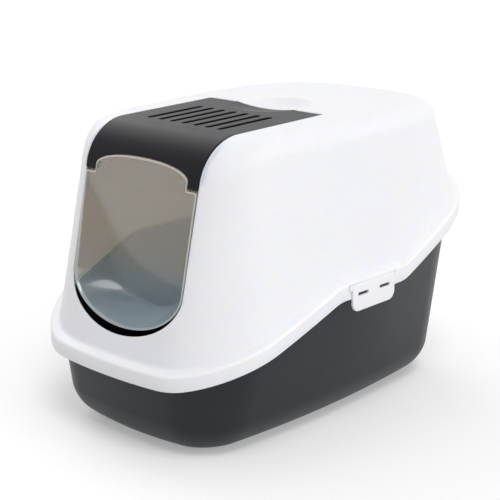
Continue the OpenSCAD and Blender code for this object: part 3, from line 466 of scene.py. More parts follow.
def prism(name, outline, low, high, axis):
    """A straight solid: a closed outline in the two other axes, carried from low to high along axis."""
    outline = np.asarray(outline, float)
    count = len(outline)
    flat = np.zeros((2, count, 3))
    others = [a for a in range(3) if a != axis]
    flat[..., others[0]], flat[..., others[1]] = outline[:, 0], outline[:, 1]
    flat[0, :, axis], flat[1, :, axis] = low, high
    faces = grid_faces(2, count, True) + [list(range(count))[::-1], list(range(count, 2 * count))]
    ahead = np.roll(outline, -1, 0)
    area = np.sum(outline[:, 0] * ahead[:, 1] - ahead[:, 0] * outline[:, 1])
    if (area < 0) != (axis == 1):
        faces = [face[::-1] for face in faces]
    return new_piece(name, flat.reshape(-1, 3), faces)


def rectangle(a, b, c, d):
    """The four corners of an upright rectangle from a to b and from c to d."""
    return [[a, c], [b, c], [b, d], [a, d]]


# %% Cut the entrance
# A length that reaches past the box on every side
BEYOND = 420.0
SILL_STEPS = 97
# The part of the dish's front that stays under the visor: its drop, its ends and its half width
DISH_FRONT_DROP, KEEP_BACK, KEEP_FRONT, KEEP_LOW, KEEP_HALF = 2.6, 10.0, -110.0, 340.0, 62.0


def under_roof(y):
    """The height just below the roof over the dish, so far down that the visor lies over it."""
    return float(roof_z(0, y)) - DISH_FRONT_DROP / math.cos(ROOF_SLOPE)


t = np.linspace(0, math.pi, SILL_STEPS)
sill = np.column_stack([-OPEN_WID / 2 * np.cos(t), SILL_Z + SILL_ARC * (1 - np.sin(t))])
entrance = np.vstack([[[OPEN_WID / 2, BEYOND], [-OPEN_WID / 2, BEYOND]], sill])
opening = prism("entrance", entrance, -BEYOND, OPEN_REAR, 1)
keep_rise = math.tan(ROOF_SLOPE) * (KEEP_BACK - OPEN_REAR)
keep = [[KEEP_BACK, KEEP_LOW], [KEEP_BACK, under_roof(OPEN_REAR) + keep_rise],
        [KEEP_FRONT, under_roof(KEEP_FRONT)], [KEEP_FRONT, KEEP_LOW]]
cut(opening, prism("dish_front", keep, -KEEP_HALF, KEEP_HALF, 0))

# %% Cut the room for the visor's turning edge and the clips' notches
# The visor's hinge lies this far below the roof's face and behind the visor's edge
HINGE_IN, NOSE_R, NOSE_ROOM = 5.0, 7.5, DISH_WID / 2 + HOOD_WALL
HINGE = np.array([OPEN_REAR - GAP - HINGE_IN, ROOF_REAR_Z - HINGE_IN])
# The clip's place, its notch and the lower notches for its lugs
CLIP_Y, CLIP_HALF, LUG, LUG_H = -20.5, 41.4, 4.5, 6.15
NOTCH_TOP, NOTCH_LOW = LAND_Z + SKIRT - HOOD_WALL - SEAT / 2, LAND_Z - 10
NOTCH_IN, NOTCH_OUT = 185.0, 205.0
CIRCLE_STEPS = 64

t = np.linspace(0, 2 * math.pi, CIRCLE_STEPS, endpoint=False)
circle = HINGE + NOSE_R * np.column_stack([np.cos(t), np.sin(t)])
nose = prism("nose_room", circle, -NOSE_ROOM, NOSE_ROOM, 0)
notches = []
for side in (-1, 1):
    x0, x1 = sorted((side * NOTCH_IN, side * NOTCH_OUT))
    for half, low in ((CLIP_HALF, NOTCH_LOW), (CLIP_HALF + LUG, NOTCH_TOP - LUG_H)):
        notches.append(prism("notch", rectangle(CLIP_Y - half, CLIP_Y + half, low, NOTCH_TOP), x0, x1, 0))
cut(hood, opening, nose, *notches)
stand_for(hood, "hood", "hood_shell")

# %% [markdown]
# ### The visor's ledges
#
# Narrow ledges along both sides of the opening carry the visor. They follow the roof and the brow
# at the visor's thickness below them. They could be cut from the hood's wall, but they are one
# profile seen from the side, so that profile, carried across, makes each.

# %% Make the ledges
# Where a ledge lies across the box, how deep its two faces lie, and its ends
LEDGE_IN, LEDGE_OUT, LEDGE_TOP_DEPTH, LEDGE_LOW_DEPTH = 94.5, 102.8, 2.3, 4.8
LEDGE_REAR, LEDGE_LOW_Z = -27.0, 331.5
BROW_STEPS = 49


def brow_line(depth, rear_y, low_z):
    """(y, z) along the roof and round the brow at a depth below the outer face, down to low_z."""
    r = BROW_R - depth
    a = np.linspace(math.pi / 2 + ROOF_SLOPE, math.pi - math.asin((low_z - BROW[1]) / r), BROW_STEPS)
    rear_z = ROOF_REAR_Z + math.tan(ROOF_SLOPE) * (rear_y - OPEN_REAR) - depth / math.cos(ROOF_SLOPE)
    return np.vstack([[rear_y, rear_z], BROW + r * np.column_stack([np.cos(a), np.sin(a)])])


upper = brow_line(LEDGE_TOP_DEPTH, LEDGE_REAR, LEDGE_LOW_Z)
lower = brow_line(LEDGE_LOW_DEPTH, LEDGE_REAR, LEDGE_LOW_Z)
ledges = []
for name, side in (("left", -1), ("right", 1)):
    x0, x1 = sorted((side * LEDGE_IN, side * LEDGE_OUT))
    ledges.append(prism("hood_ledge_" + name, np.vstack([upper, lower[::-1]]), x0, x1, 0))
    stand_for(ledges[-1], "hood", "hood_shell")
print("ledges:", [len(piece.data.polygons) for piece in ledges], "faces")

# %% [markdown]
# ## The visor
#
# The visor is a thin plate that follows the roof, the brow and the leaning front. Bending a
# finished plate with a modifier would need a helper object, and cutting the slots afterwards would
# pinch its mesh. It is easiest to draw flat: x across and s along its length, from the rear edge.
# The outline, the arch over the flap and the seven slots are cut in that flat sheet, which is
# filled with triangles and then bent over the profile, as a pattern piece would be.

# %% Flat sheets with holes


def densify(outline, step):
    """Adds points to a closed outline so that no edge is longer than step."""
    outline = np.asarray(outline, float)
    ahead = np.roll(outline, -1, 0)
    parts = np.maximum(1, np.ceil(np.linalg.norm(ahead - outline, axis=1) / step).astype(int))
    at = np.repeat(np.arange(len(outline)), parts)
    t = (np.arange(len(at)) - np.repeat(np.cumsum(parts) - parts, parts)) / parts[at]
    return outline[at] * (1 - t)[:, None] + ahead[at] * t[:, None]


def inside(points, outline):
    """Whether each point lies in a closed outline: a ray to the right crosses it an odd number of times."""
    a, b = outline[None], np.roll(outline, -1, 0)[None]
    p = points[:, None]
    crosses = (a[..., 1] > p[..., 1]) != (b[..., 1] > p[..., 1])
    rise = np.where(crosses, b[..., 1] - a[..., 1], 1)
    at = a[..., 0] + (p[..., 1] - a[..., 1]) * (b[..., 0] - a[..., 0]) / rise
    return (np.sum(crosses & (p[..., 0] < at), 1) % 2) == 1


# A grid point closer to an outline than this share of a step is left out
NEAR_SHARE = 0.55


def flat_sheet(outline, holes, step):
    """Triangles over a flat sheet with holes: its outlines and a grid of points between them."""
    loops = [densify(o, step) for o in [outline] + list(holes)]
    low, high = loops[0].min(0), loops[0].max(0)
    columns = [np.arange(low[axis] + step / 2, high[axis], step) for axis in (0, 1)]
    grid = np.stack(np.meshgrid(*columns), -1).reshape(-1, 2)
    border = np.vstack(loops)
    near = np.min(np.linalg.norm(grid[:, None] - border[None], axis=2), 1) < step * NEAR_SHARE
    keep = inside(grid, loops[0]) & ~near
    for hole in loops[1:]:
        keep &= ~inside(grid, hole)
    starts = np.cumsum([0] + [len(loop) for loop in loops])
    edges = [
        (int(start + i), int(start + (i + 1) % len(loop)))
        for start, loop in zip(starts, loops) for i in range(len(loop))]
    flat = np.vstack([border, grid[keep]])
    points, _, faces, *_ = delaunay_2d_cdt([Vector(p) for p in flat], edges, [], 0, 1e-6)
    points, faces = np.array([p[:] for p in points]), np.array(faces)
    centre = points[faces].mean(1)
    solid = inside(centre, loops[0])
    for hole in loops[1:]:
        solid &= ~inside(centre, hole)
    return points, faces[solid]


def rounded_slot(x, y, wid, length, steps=24):
    """A slot with round ends along y, centred at (x, y)."""
    t = np.linspace(0, math.pi, steps)
    r, reach = wid / 2, (length - wid) / 2
    return np.vstack([
        np.column_stack([x + r * np.cos(t), y + reach + r * np.sin(t)]),
        np.column_stack([x - r * np.cos(t), y - reach - r * np.sin(t)])])


print("points round one slot 8 mm wide:", len(rounded_slot(0, 0, 8, 94)))

# %% Along the visor's profile
# The tabs beside the arch: their width and the height of their ends
TAB_WID, TAB_Z = 16.6, 322.6
# The arch over the flap: its height, the height of its upright sides and the power of its curve
ARCH_H, ARCH_SIDE, ARCH_POWER = 27.0, 9.0, 2.2
# How far below the flap's axis the flap's shoulders lie
SHOULDER_DROP = 8.3
SHOULDER_Z = FLAP_AXIS[1] - SHOULDER_DROP * math.cos(FRONT_LEAN)
VISOR_HALF, ARCH_HALF, NOSE_HALF = OPEN_WID / 2 - GAP, OPEN_WID / 2 - GAP - TAB_WID, DISH_WID / 2
visor_rear = np.array([OPEN_REAR - GAP, ROOF_REAR_Z - math.tan(ROOF_SLOPE) * GAP])
ROOF_RUN = float(np.linalg.norm(BROW_TOP - visor_rear))
ARC_RUN = BROW_R * (math.pi / 2 - ROOF_SLOPE - FRONT_LEAN)
# How far the visor dips into the finger dish at its rear edge
VISOR_DIP = 4.2


def run_to_height(z):
    """How far along the visor's profile a height on the brow or the leaning front lies."""
    on_arc = np.arcsin(np.clip((z - BROW[1]) / BROW_R, -1, 1))
    return np.where(
        z > BROW_LOW[1], ROOF_RUN + BROW_R * (math.pi / 2 - ROOF_SLOPE - on_arc),
        ROOF_RUN + ARC_RUN + (BROW_LOW[1] - z) / math.cos(FRONT_LEAN))


def arch(t, gap):
    """The arch over the flap: a superellipse on upright sides, from t = -1 at the left tab to 1."""
    rise = np.maximum(0, 1 - np.abs(t) ** ARCH_POWER) ** (1 / ARCH_POWER)
    height = SHOULDER_Z + ARCH_SIDE + (ARCH_H - ARCH_SIDE - gap) * rise
    return np.column_stack([t * (ARCH_HALF - gap), height])


def bend_over_brow(flat):
    """(x, s) to space: straight along the roof, round the brow's circle, then down the front."""
    x, s = flat[:, 0], flat[:, 1]
    a = math.pi / 2 + ROOF_SLOPE + np.clip((s - ROOF_RUN) / BROW_R, 0, ARC_RUN / BROW_R)
    down = np.maximum(0, s - ROOF_RUN - ARC_RUN)
    on_roof = visor_rear[:, None] - s * np.array([[math.cos(ROOF_SLOPE)], [math.sin(ROOF_SLOPE)]])
    on_brow = BROW[:, None] + BROW_R * np.array([np.cos(a), np.sin(a)]) - down * front_up[:, None]
    y, z = np.where(s < ROOF_RUN, on_roof, on_brow)
    dish = np.clip(1 - (x / (DISH_WID / 2)) ** 2 - ((y - DISH_Y) / (DISH_LEN / 2)) ** 2, 0, 1)
    return np.column_stack([x, y, z - VISOR_DIP * dish])


print("roof run", round(ROOF_RUN, 1), "mm, brow run", round(ARC_RUN, 1), "mm")

# %% Cut out the visor's sheet and bend it
# The sheet's grid, its cut corners, the length of its narrow rear end and the points of its arch
SHEET_STEP, CORNER_CUT, NOSE_LEN, ARCH_STEPS = 3.0, 1.5, 5.0, 81
# The slots: their middle along the visor, width, length and the pitch between them
SLOT_RUN, SLOT_WID, SLOT_LEN, SLOT_PITCH = 101.6, 8.0, 94.0, 20.0

arch_x, arch_z = arch(np.sin(np.linspace(math.pi / 2, -math.pi / 2, ARCH_STEPS)), 0.0).T
tab = float(run_to_height(TAB_Z))
right_side = np.array([
    [NOSE_HALF, 0], [NOSE_HALF, NOSE_LEN], [VISOR_HALF, NOSE_LEN], [VISOR_HALF, tab - CORNER_CUT],
    [VISOR_HALF - CORNER_CUT, tab], [ARCH_HALF + CORNER_CUT, tab], [ARCH_HALF, tab - CORNER_CUT]])
left_side = right_side[::-1] * [-1, 1]
visor_outline = np.vstack([
    left_side[-1:], right_side, np.column_stack([arch_x, run_to_height(arch_z)]), left_side[:-1]])
slots = [rounded_slot(x, SLOT_RUN, SLOT_WID, SLOT_LEN) for x in np.arange(-3, 4) * SLOT_PITCH]
flat, triangles = flat_sheet(visor_outline, slots, SHEET_STEP)
visor = new_piece("visor", bend_over_brow(flat), triangles.tolist())
print("visor sheet:", len(flat), "points with", len(slots), "slots")

# %% [markdown]
# ### The visor's wall
#
# The sheet becomes a plate with Solidify, inwards from the outer face, and a small bevel rounds its
# rim and the rims of the slots, where the real moulding catches the light. A second bent sheet and
# walls between the two would do the same with more code.

# %% Thicken and round the visor
# The visor's thickness, its rounded rim, and the turn in degrees that makes an edge of the rim
VISOR_T, VISOR_ROUND, RIM_TURN = 2.0, 0.5, 60


def face_towards(piece, direction):
    """Turns a piece's faces so that their mean points along direction."""
    mesh = piece.data
    normals = np.empty(len(mesh.polygons) * 3)
    mesh.polygons.foreach_get("normal", normals)
    if normals.reshape(-1, 3).mean(0) @ np.asarray(direction, float) < 0:
        mesh.flip_normals()


def round_edges(piece, width, segments, angle):
    """A bevel modifier on every edge whose faces turn by more than angle degrees."""
    rim = piece.modifiers.new("rim", "BEVEL")
    rim.width, rim.segments = width * MM, segments
    rim.limit_method, rim.angle_limit = "ANGLE", math.radians(angle)


face_towards(visor, (0, -1, 1))
wall = visor.modifiers.new("wall", "SOLIDIFY")
wall.thickness, wall.offset, wall.use_even_offset = VISOR_T * MM, -1.0, True
round_edges(visor, VISOR_ROUND, 3, RIM_TURN)
settle(visor)
stand_for(visor, "visor", "front_visor")
print("visor faces:", len(visor.data.polygons))

# %% [markdown]
# ## The entrance flap
#
# The flap is one clear smoke-tinted moulding. Its pane leans a little inwards while its rim follows
# the leaning front of the hood, so side walls and a rounded lip widen towards the bottom, like a
# scoop. It could be sculpted from a plane, but both skins follow one rule. One closed table of
# points makes them: a row for each point up the rim, and columns across the front skin from the
# right rim over the pane to the left rim, and back across the rear skin.

# %% The flap's rim, seen from the front
# The gaps beside the flap, at its arch and over the sill
FLAP_SIDE_GAP, FLAP_GAP, SILL_GAP = 1.8, 1.2, 6.0
FLAP_HALF = OPEN_WID / 2 - FLAP_SIDE_GAP
LOW_Z, LOW_H = SILL_Z + SILL_ARC + FLAP_SIDE_GAP, SILL_ARC - SILL_GAP + FLAP_SIDE_GAP
# The wall of the flap and the width of its rim
FLAP_T, RIM_WID = 2.4, 2.5
# The rounded corners at the flap's shoulders: their radius, cut, fall and slope
EAR_R, EAR_CUT, EAR_FALL, EAR_SLOPE = 1.5, 0.4, 0.3, 0.25
# Points up the rim: round the lip, up the side, over the shoulder, up the neck and over the arch
LIP_ROWS, SIDE_ROWS, EAR_ROWS, NECK_ROWS, ARCH_ROWS = 48, 40, 8, 6, 49

t = np.linspace(0, math.pi / 2, LIP_ROWS, endpoint=False)
neck = ARCH_HALF - FLAP_GAP
edge = np.vstack([
    np.column_stack([FLAP_HALF * np.sin(t), LOW_Z - LOW_H * np.cos(t)]),
    np.column_stack([
        np.full(SIDE_ROWS, FLAP_HALF), np.linspace(LOW_Z, SHOULDER_Z - EAR_R, SIDE_ROWS)]),
    [[FLAP_HALF - EAR_CUT, SHOULDER_Z - 2 * EAR_FALL], [FLAP_HALF - EAR_R, SHOULDER_Z - EAR_FALL]],
    np.column_stack([
        np.linspace(FLAP_HALF - 2 * EAR_R, neck + EAR_R, EAR_ROWS),
        np.linspace(SHOULDER_Z - EAR_SLOPE, SHOULDER_Z, EAR_ROWS)]),
    [[neck + EAR_CUT, SHOULDER_Z + EAR_CUT]],
    np.column_stack([
        np.full(NECK_ROWS, neck),
        SHOULDER_Z + np.linspace(EAR_R, ARCH_SIDE - 2 * EAR_CUT, NECK_ROWS)]),
    arch(np.sin(np.linspace(math.pi / 2, 0, ARCH_ROWS)), FLAP_GAP)])
flap_middle = np.array([0, SILL_Z + SILL_ARC])
reach = np.linalg.norm(edge - flap_middle, axis=1)[:, None]
rim = flap_middle + (edge - flap_middle) * (1 - RIM_WID / reach)
print("points up the right half of the rim:", len(edge))

# %% The flap's two skins
# Where the pane begins below the brow, how far the walls and the lip fold in, and the pane's lean
PANE_TOP, SIDE_FOLD, LIP_FOLD, PANE_LEAN = BROW_LOW[1] - 14.0, 40.0, 12.0, math.radians(8)
# The fold at the flap's very top, and the powers of the lip's rise and of the walls' curve
LEAST_FOLD_SHARE, LIP_POWER, WALL_POWER = 0.02, 4, 1.6
WALL_COLUMNS, PANE_COLUMNS = 22, 42


def front_y(z):
    """Depth of the hood's front face at a height: the leaning plane, then the brow's circle."""
    on_circle = BROW[0] - np.sqrt(np.maximum(0, BROW_R ** 2 - (z - BROW[1]) ** 2))
    on_plane = BROW_LOW[0] + (z - BROW_LOW[1]) * math.tan(FRONT_LEAN)
    return np.where(z <= BROW_LOW[1], on_plane, on_circle)


def flap_surface(outline, share, back):
    """Points of a skin at a share from the rim (0) to the pane (1), for the right half of an outline.

    A point moves in across by the share of the side fold and up by the share of the lip's fold,
    both growing from the pane's top down. Its depth goes from the hood's front to the leaning pane
    by (1 - share)^1.6.
    """
    x, z = outline.T
    down = np.clip((PANE_TOP - z) / (PANE_TOP - SILL_Z - SILL_GAP), 0, 1)
    inward = 1 - share * LEAST_FOLD_SHARE
    fx = x * (inward - share * SIDE_FOLD / FLAP_HALF * down)
    fz = flap_middle[1] + (z - flap_middle[1]) * inward + share * LIP_FOLD * down ** LIP_POWER
    pane = front_y(np.maximum(fz, PANE_TOP)) + np.maximum(0, PANE_TOP - fz) * math.tan(PANE_LEAN)
    return np.column_stack([fx, pane + (front_y(z) - pane) * (1 - share) ** WALL_POWER + back, fz])


def across(outline, back):
    """Columns from the right rim over the pane to the left rim."""
    walls = [flap_surface(outline, share, back) for share in np.linspace(0, 1, WALL_COLUMNS)]
    pane = [walls[-1] * [t, 1, 1] for t in np.linspace(1, -1, PANE_COLUMNS)[1:-1]]
    return walls + pane + [wall * [-1, 1, 1] for wall in walls[::-1]]


front_skin, rear_skin = across(rim, 0), across(edge, FLAP_T)[::-1]
rim_face = flap_surface(edge, 0, 0)
table = np.stack(front_skin + [rim_face * [-1, 1, 1]] + rear_skin + [rim_face], 1)
rows, cols, _ = table.shape
print("flap table:", rows, "rows of", cols, "points")

# %% Make the flap and mark its rim
# The distance at which points merge, the flap's rounding, and the turn that makes an edge of it
MERGE, FLAP_ROUND, FLAP_CREASE = 0.02, 0.4, 50

flap = new_piece("flap", table.reshape(-1, 3), grid_faces(rows, cols, True))
rim_marks = np.zeros((rows, cols), np.float32)
last = len(front_skin) - 1
rim_marks[:, [0, last, last + 1, last + 2, cols - 2, cols - 1]] = 1
flap.data.attributes.new("rim", "FLOAT", "POINT").data.foreach_set("value", rim_marks.ravel())
bm = bmesh.new()
bm.from_mesh(flap.data)
bmesh.ops.remove_doubles(bm, verts=bm.verts, dist=MERGE * MM)
bmesh.ops.recalc_face_normals(bm, faces=bm.faces)
bm.to_mesh(flap.data)
bm.free()
round_edges(flap, FLAP_ROUND, 2, FLAP_CREASE)
settle(flap, FLAP_CREASE)
stand_for(flap, "flap", "flap_door")
print("flap faces:", len(flap.data.polygons))

# %% [markdown]
# ## The clips and the small hinge pieces
#
# These already have their true shape in the construction model. They could be kept as they are,
# but their edges would be knife-sharp. So a copy of each one's mesh is merged, its flat faces are
# joined again, and a small bevel rounds the edges as a mould would.

# %% Refine copies of the small pieces
CLIP_ROUND, KNUCKLE_ROUND, LUG_ROUND = 0.6, 0.2, 0.3
# Turns in degrees: up to which faces are flat, from which an edge is rounded, and from which it is sharp
FLAT_TURN, ROUND_TURN, SHARP_TURN = 2, 50, 40


def refined_copy(name, node, body, round_by):
    """A copy of a construction node: merged points, flat faces joined, edges rounded."""
    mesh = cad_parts[node].data.copy()
    bm = bmesh.new()
    bm.from_mesh(mesh)
    bmesh.ops.remove_doubles(bm, verts=bm.verts, dist=MERGE / 2 * MM)
    bmesh.ops.dissolve_limit(
        bm, angle_limit=math.radians(FLAT_TURN), use_dissolve_boundaries=False,
        verts=bm.verts, edges=bm.edges, delimit=set())
    bm.to_mesh(mesh)
    bm.free()
    mesh.materials.clear()
    if "custom_normal" in mesh.attributes:
        mesh.attributes.remove(mesh.attributes["custom_normal"])
    mesh.name = name
    piece = bpy.data.objects.new(name, mesh)
    bpy.context.scene.collection.objects.link(piece)
    round_edges(piece, round_by, 3, ROUND_TURN)
    settle(piece, SHARP_TURN)
    stand_for(piece, body, node)
    return piece


clips, knuckles, lugs = [], [], []
for side in ("left", "right"):
    clips.append(refined_copy(
        "clip_" + side, "side_clip_" + side, "clip_" + side, CLIP_ROUND))
    knuckles.append(refined_copy(
        "knuckle_" + side, "visor_knuckle_" + side, "visor", KNUCKLE_ROUND))
    lugs.append(refined_copy(
        "lugs_" + side, "clip_lugs_" + side, "hood", LUG_ROUND))
print("clip faces:", [len(c.data.polygons) for c in clips])

# %% [markdown]
# ## Moulded plastic, as a node group
#
# All the plastics share the same fine things: a faint grain from the mould's spark-eroded surface,
# slow changes of shade where the melt cooled, and gloss that varies a little. Each material could
# hold these nodes itself, but one node group is built once and gives a colour, a roughness and a
# normal, and each material sets its own values for it.

# %% Helpers: groups and nodes


def node_group(name, inputs, outputs):
    """An empty shader node group with named inputs and outputs, and its two end nodes."""
    group = bpy.data.node_groups.new(name, "ShaderNodeTree")
    for label, kind, value in inputs:
        made = group.interface.new_socket(name=label, in_out="INPUT", socket_type=kind)
        made.default_value = value
    for label, kind in outputs:
        group.interface.new_socket(name=label, in_out="OUTPUT", socket_type=kind)
    return group, group.nodes.new("NodeGroupInput"), group.nodes.new("NodeGroupOutput")


def add(tree, kind, **values):
    """A new node in a tree, with plain properties and input values set by name."""
    node = tree.nodes.new(kind)
    for key, value in values.items():
        if hasattr(node, key):
            setattr(node, key, value)
        else:
            node.inputs[key.replace("_", " ")].default_value = value
    return node


def mix(tree, factor, first, second):
    """A colour mix of a factor socket with two colours, each a socket or plain red, green and blue."""
    node = add(tree, "ShaderNodeMix", data_type="RGBA")
    tree.links.new(factor, node.inputs["Factor"])
    for socket, colour in ((node.inputs[6], first), (node.inputs[7], second)):
        if isinstance(colour, tuple):
            socket.default_value = (*colour, 1)
        else:
            tree.links.new(colour, socket)
    return node.outputs[2]


print("node groups so far:", len(bpy.data.node_groups))

# %% Node group: moulded surface
COLOUR, VALUE, VECTOR = "NodeSocketColor", "NodeSocketFloat", "NodeSocketVector"
# Grains in a metre, their height in metres, and how far the gloss varies
GRAIN, GRAIN_HEIGHT, GLOSS_SPREAD = 1500.0, 0.0002, 0.08

moulded, given, gives = node_group(
    "moulded surface",
    [("Colour", COLOUR, (0.8, 0.8, 0.8, 1)), ("Shade Colour", COLOUR, (0.7, 0.7, 0.7, 1)),
     ("Shade Amount", VALUE, 0.3), ("Grain Scale", VALUE, GRAIN), ("Grain Depth", VALUE, 0.1),
     ("Roughness", VALUE, 0.4), ("Roughness Spread", VALUE, GLOSS_SPREAD)],
    [("Colour", COLOUR), ("Roughness", VALUE), ("Normal", VECTOR)])
link = moulded.links.new
place = add(moulded, "ShaderNodeTexCoord")
slow = add(moulded, "ShaderNodeTexNoise", Scale=6.0, Detail=3.0, Roughness=0.5)
fine = add(moulded, "ShaderNodeTexNoise", Detail=2.0, Roughness=0.6)
patch = add(moulded, "ShaderNodeTexNoise", Scale=38.0, Detail=4.0, Roughness=0.6)
for noise in (slow, fine, patch):
    link(place.outputs["Object"], noise.inputs["Vector"])
link(given.outputs["Grain Scale"], fine.inputs["Scale"])
amount = add(moulded, "ShaderNodeMath", operation="MULTIPLY")
link(slow.outputs["Fac"], amount.inputs[0])
link(given.outputs["Shade Amount"], amount.inputs[1])
shaded = mix(moulded, amount.outputs[0], given.outputs["Colour"], given.outputs["Shade Colour"])
link(shaded, gives.inputs["Colour"])
spread = add(moulded, "ShaderNodeMath", operation="SUBTRACT")
link(patch.outputs["Fac"], spread.inputs[0])
spread.inputs[1].default_value = 0.5
rough = add(moulded, "ShaderNodeMath", operation="MULTIPLY_ADD")
link(spread.outputs[0], rough.inputs[0])
link(given.outputs["Roughness Spread"], rough.inputs[1])
link(given.outputs["Roughness"], rough.inputs[2])
link(rough.outputs[0], gives.inputs["Roughness"])
bump = add(moulded, "ShaderNodeBump", Distance=GRAIN_HEIGHT)
link(given.outputs["Grain Depth"], bump.inputs["Strength"])
link(fine.outputs["Fac"], bump.inputs["Height"])
link(bump.outputs["Normal"], gives.inputs["Normal"])
print("group outputs:", [s.name for s in gives.inputs if s.name])

# %% [markdown]
# ## The solid plastics
#
# The hood and the clips are white, the tray and the visor anthracite with a satin gloss, and the
# hidden filter holder is a duller grey. The white of the hood lets light in a little way, as thin
# white polypropylene does, so it gets some subsurface scattering. Plain colours would look flat,
# so each material has a second shade of itself for the group to vary towards.

# %% Materials of the solid plastics


def plastic(
        name, colour, shade, roughness, amount=0.5, spread=GLOSS_SPREAD, grain=GRAIN, depth=0.1,
        **shader):
    """A moulded plastic: the group feeds the shader's colour, roughness and normal."""
    made = bpy.data.materials.new(name)
    made.use_nodes = True
    tree = made.node_tree
    principled = tree.nodes["Principled BSDF"]
    group = add(tree, "ShaderNodeGroup", node_tree=moulded)
    values = {
        "Colour": (*colour, 1), "Shade Colour": (*shade, 1), "Shade Amount": amount,
        "Grain Scale": grain, "Grain Depth": depth, "Roughness": roughness, "Roughness Spread": spread}
    for key, value in values.items():
        group.inputs[key].default_value = value
    tree.links.new(group.outputs["Colour"], principled.inputs["Base Color"])
    tree.links.new(group.outputs["Roughness"], principled.inputs["Roughness"])
    tree.links.new(group.outputs["Normal"], principled.inputs["Normal"])
    for key, value in shader.items():
        principled.inputs[key.replace("_", " ")].default_value = value
    return made


white_hood = plastic(
    "white hood plastic", colour=(0.89, 0.872, 0.886), shade=(0.85, 0.832, 0.84), roughness=0.38,
    IOR=1.5, Specular_IOR_Level=0.2,
    Subsurface_Weight=1.0, Subsurface_Radius=(1.0, 0.8, 0.55), Subsurface_Scale=0.004)
white_clip = plastic(
    "white clip plastic", colour=(0.86, 0.86, 0.88), shade=(0.82, 0.82, 0.84), roughness=0.34,
    IOR=1.5, Specular_IOR_Level=0.35)
anthracite_tray = plastic(
    "anthracite tray plastic", colour=(0.009, 0.0135, 0.0165), shade=(0.018, 0.0225, 0.027),
    roughness=0.42, depth=0.2, IOR=1.5, Specular_IOR_Level=0.3)
anthracite_visor = plastic(
    "anthracite visor plastic", colour=(0.01, 0.01, 0.012), shade=(0.016, 0.0165, 0.019),
    roughness=0.36, depth=0.25, IOR=1.5, Specular_IOR_Level=0.1)
grey_holder = plastic(
    "grey holder plastic", colour=(0.03, 0.032, 0.034), shade=(0.045, 0.047, 0.05), roughness=0.5,
    depth=0.3)
charcoal_fleece = plastic(
    "charcoal fleece", colour=(0.012, 0.012, 0.013), shade=(0.03, 0.03, 0.032), amount=0.9,
    roughness=0.95, spread=0.05, grain=900.0, depth=1.0)
print("solid plastics:", [m.name for m in bpy.data.materials if "plastic" in m.name])

# %% [markdown]
# ## The clear smoke-tinted plastic
#
# The flap is thin clear plastic with a smoke tint. Its colour holds painted light and shade of the
# inside seen through it: warm above, where the lit inner wall of the hood shows, and cool blue-grey
# in the lip, where the tray and its reflections show. Full refraction through two near skins renders
# slowly and with noise, so the flap is a glossy veil instead: seen square on it is mostly clear, at a
# slant it covers more, and its rim, which the mesh marks with an attribute, is nearly solid.

# %% Material of the flap
# How much the flap covers seen square on, at a slant, and at its rim
CLEAR, SLANTED, RIM_COVER = 0.16, 0.85, 0.8
# Heights in metres between which the painted colour turns from the shaded tray to the lit hood wall
PAINTED_TRAY_VIEW_Z, PAINTED_LIT_WALL_Z = 0.16, 0.24
# Painted colours of the inside seen through, for the pane and the rim: the tray and reflections below, the
# lit wall above
PAINTED_TRAY_VIEW_PANE, PAINTED_LIT_WALL_PANE = (0.54, 0.7, 0.79), (0.59, 0.545, 0.44)
PAINTED_TRAY_VIEW_RIM, PAINTED_LIT_WALL_RIM = (0.36, 0.42, 0.44), (0.6, 0.57, 0.5)

smoke_flap = plastic(
    "smoke flap plastic", colour=(0.38, 0.4, 0.41), shade=(0.34, 0.37, 0.39), roughness=0.14,
    spread=0.04, grain=60.0, depth=0.0, IOR=1.7, Specular_IOR_Level=1.0)
tree = smoke_flap.node_tree
link = tree.links.new
slant = add(tree, "ShaderNodeLayerWeight", Blend=0.25)
veil = add(tree, "ShaderNodeMapRange", To_Min=CLEAR, To_Max=SLANTED)
link(slant.outputs["Facing"], veil.inputs["Value"])
rim_share = add(tree, "ShaderNodeAttribute", attribute_name="rim")
cover = add(tree, "ShaderNodeMapRange", To_Max=RIM_COVER)
link(rim_share.outputs["Fac"], cover.inputs["Value"])
link(veil.outputs["Result"], cover.inputs["To Min"])
link(cover.outputs["Result"], tree.nodes["Principled BSDF"].inputs["Alpha"])
place = add(tree, "ShaderNodeTexCoord")
height = add(tree, "ShaderNodeSeparateXYZ")
link(place.outputs["Object"], height.inputs[0])
# Painted light and shade of the inside seen through the flap, turning with height
painted_lit_wall_share = add(tree, "ShaderNodeMapRange", From_Min=PAINTED_TRAY_VIEW_Z, From_Max=PAINTED_LIT_WALL_Z, interpolation_type="SMOOTHSTEP")
link(height.outputs["Z"], painted_lit_wall_share.inputs["Value"])
painted_view_pane = mix(tree, painted_lit_wall_share.outputs["Result"], PAINTED_TRAY_VIEW_PANE, PAINTED_LIT_WALL_PANE)
painted_view_rim = mix(tree, painted_lit_wall_share.outputs["Result"], PAINTED_TRAY_VIEW_RIM, PAINTED_LIT_WALL_RIM)
group = next(node for node in tree.nodes if node.type == "GROUP")
link(mix(tree, rim_share.outputs["Fac"], painted_view_pane, painted_view_rim), group.inputs["Colour"])
print("nodes in the flap's material:", len(tree.nodes))

# %% Give every piece its material


def finish(material, *objects):
    """Gives each object one material alone."""
    for thing in objects:
        thing.data.materials.clear()
        thing.data.materials.append(material)


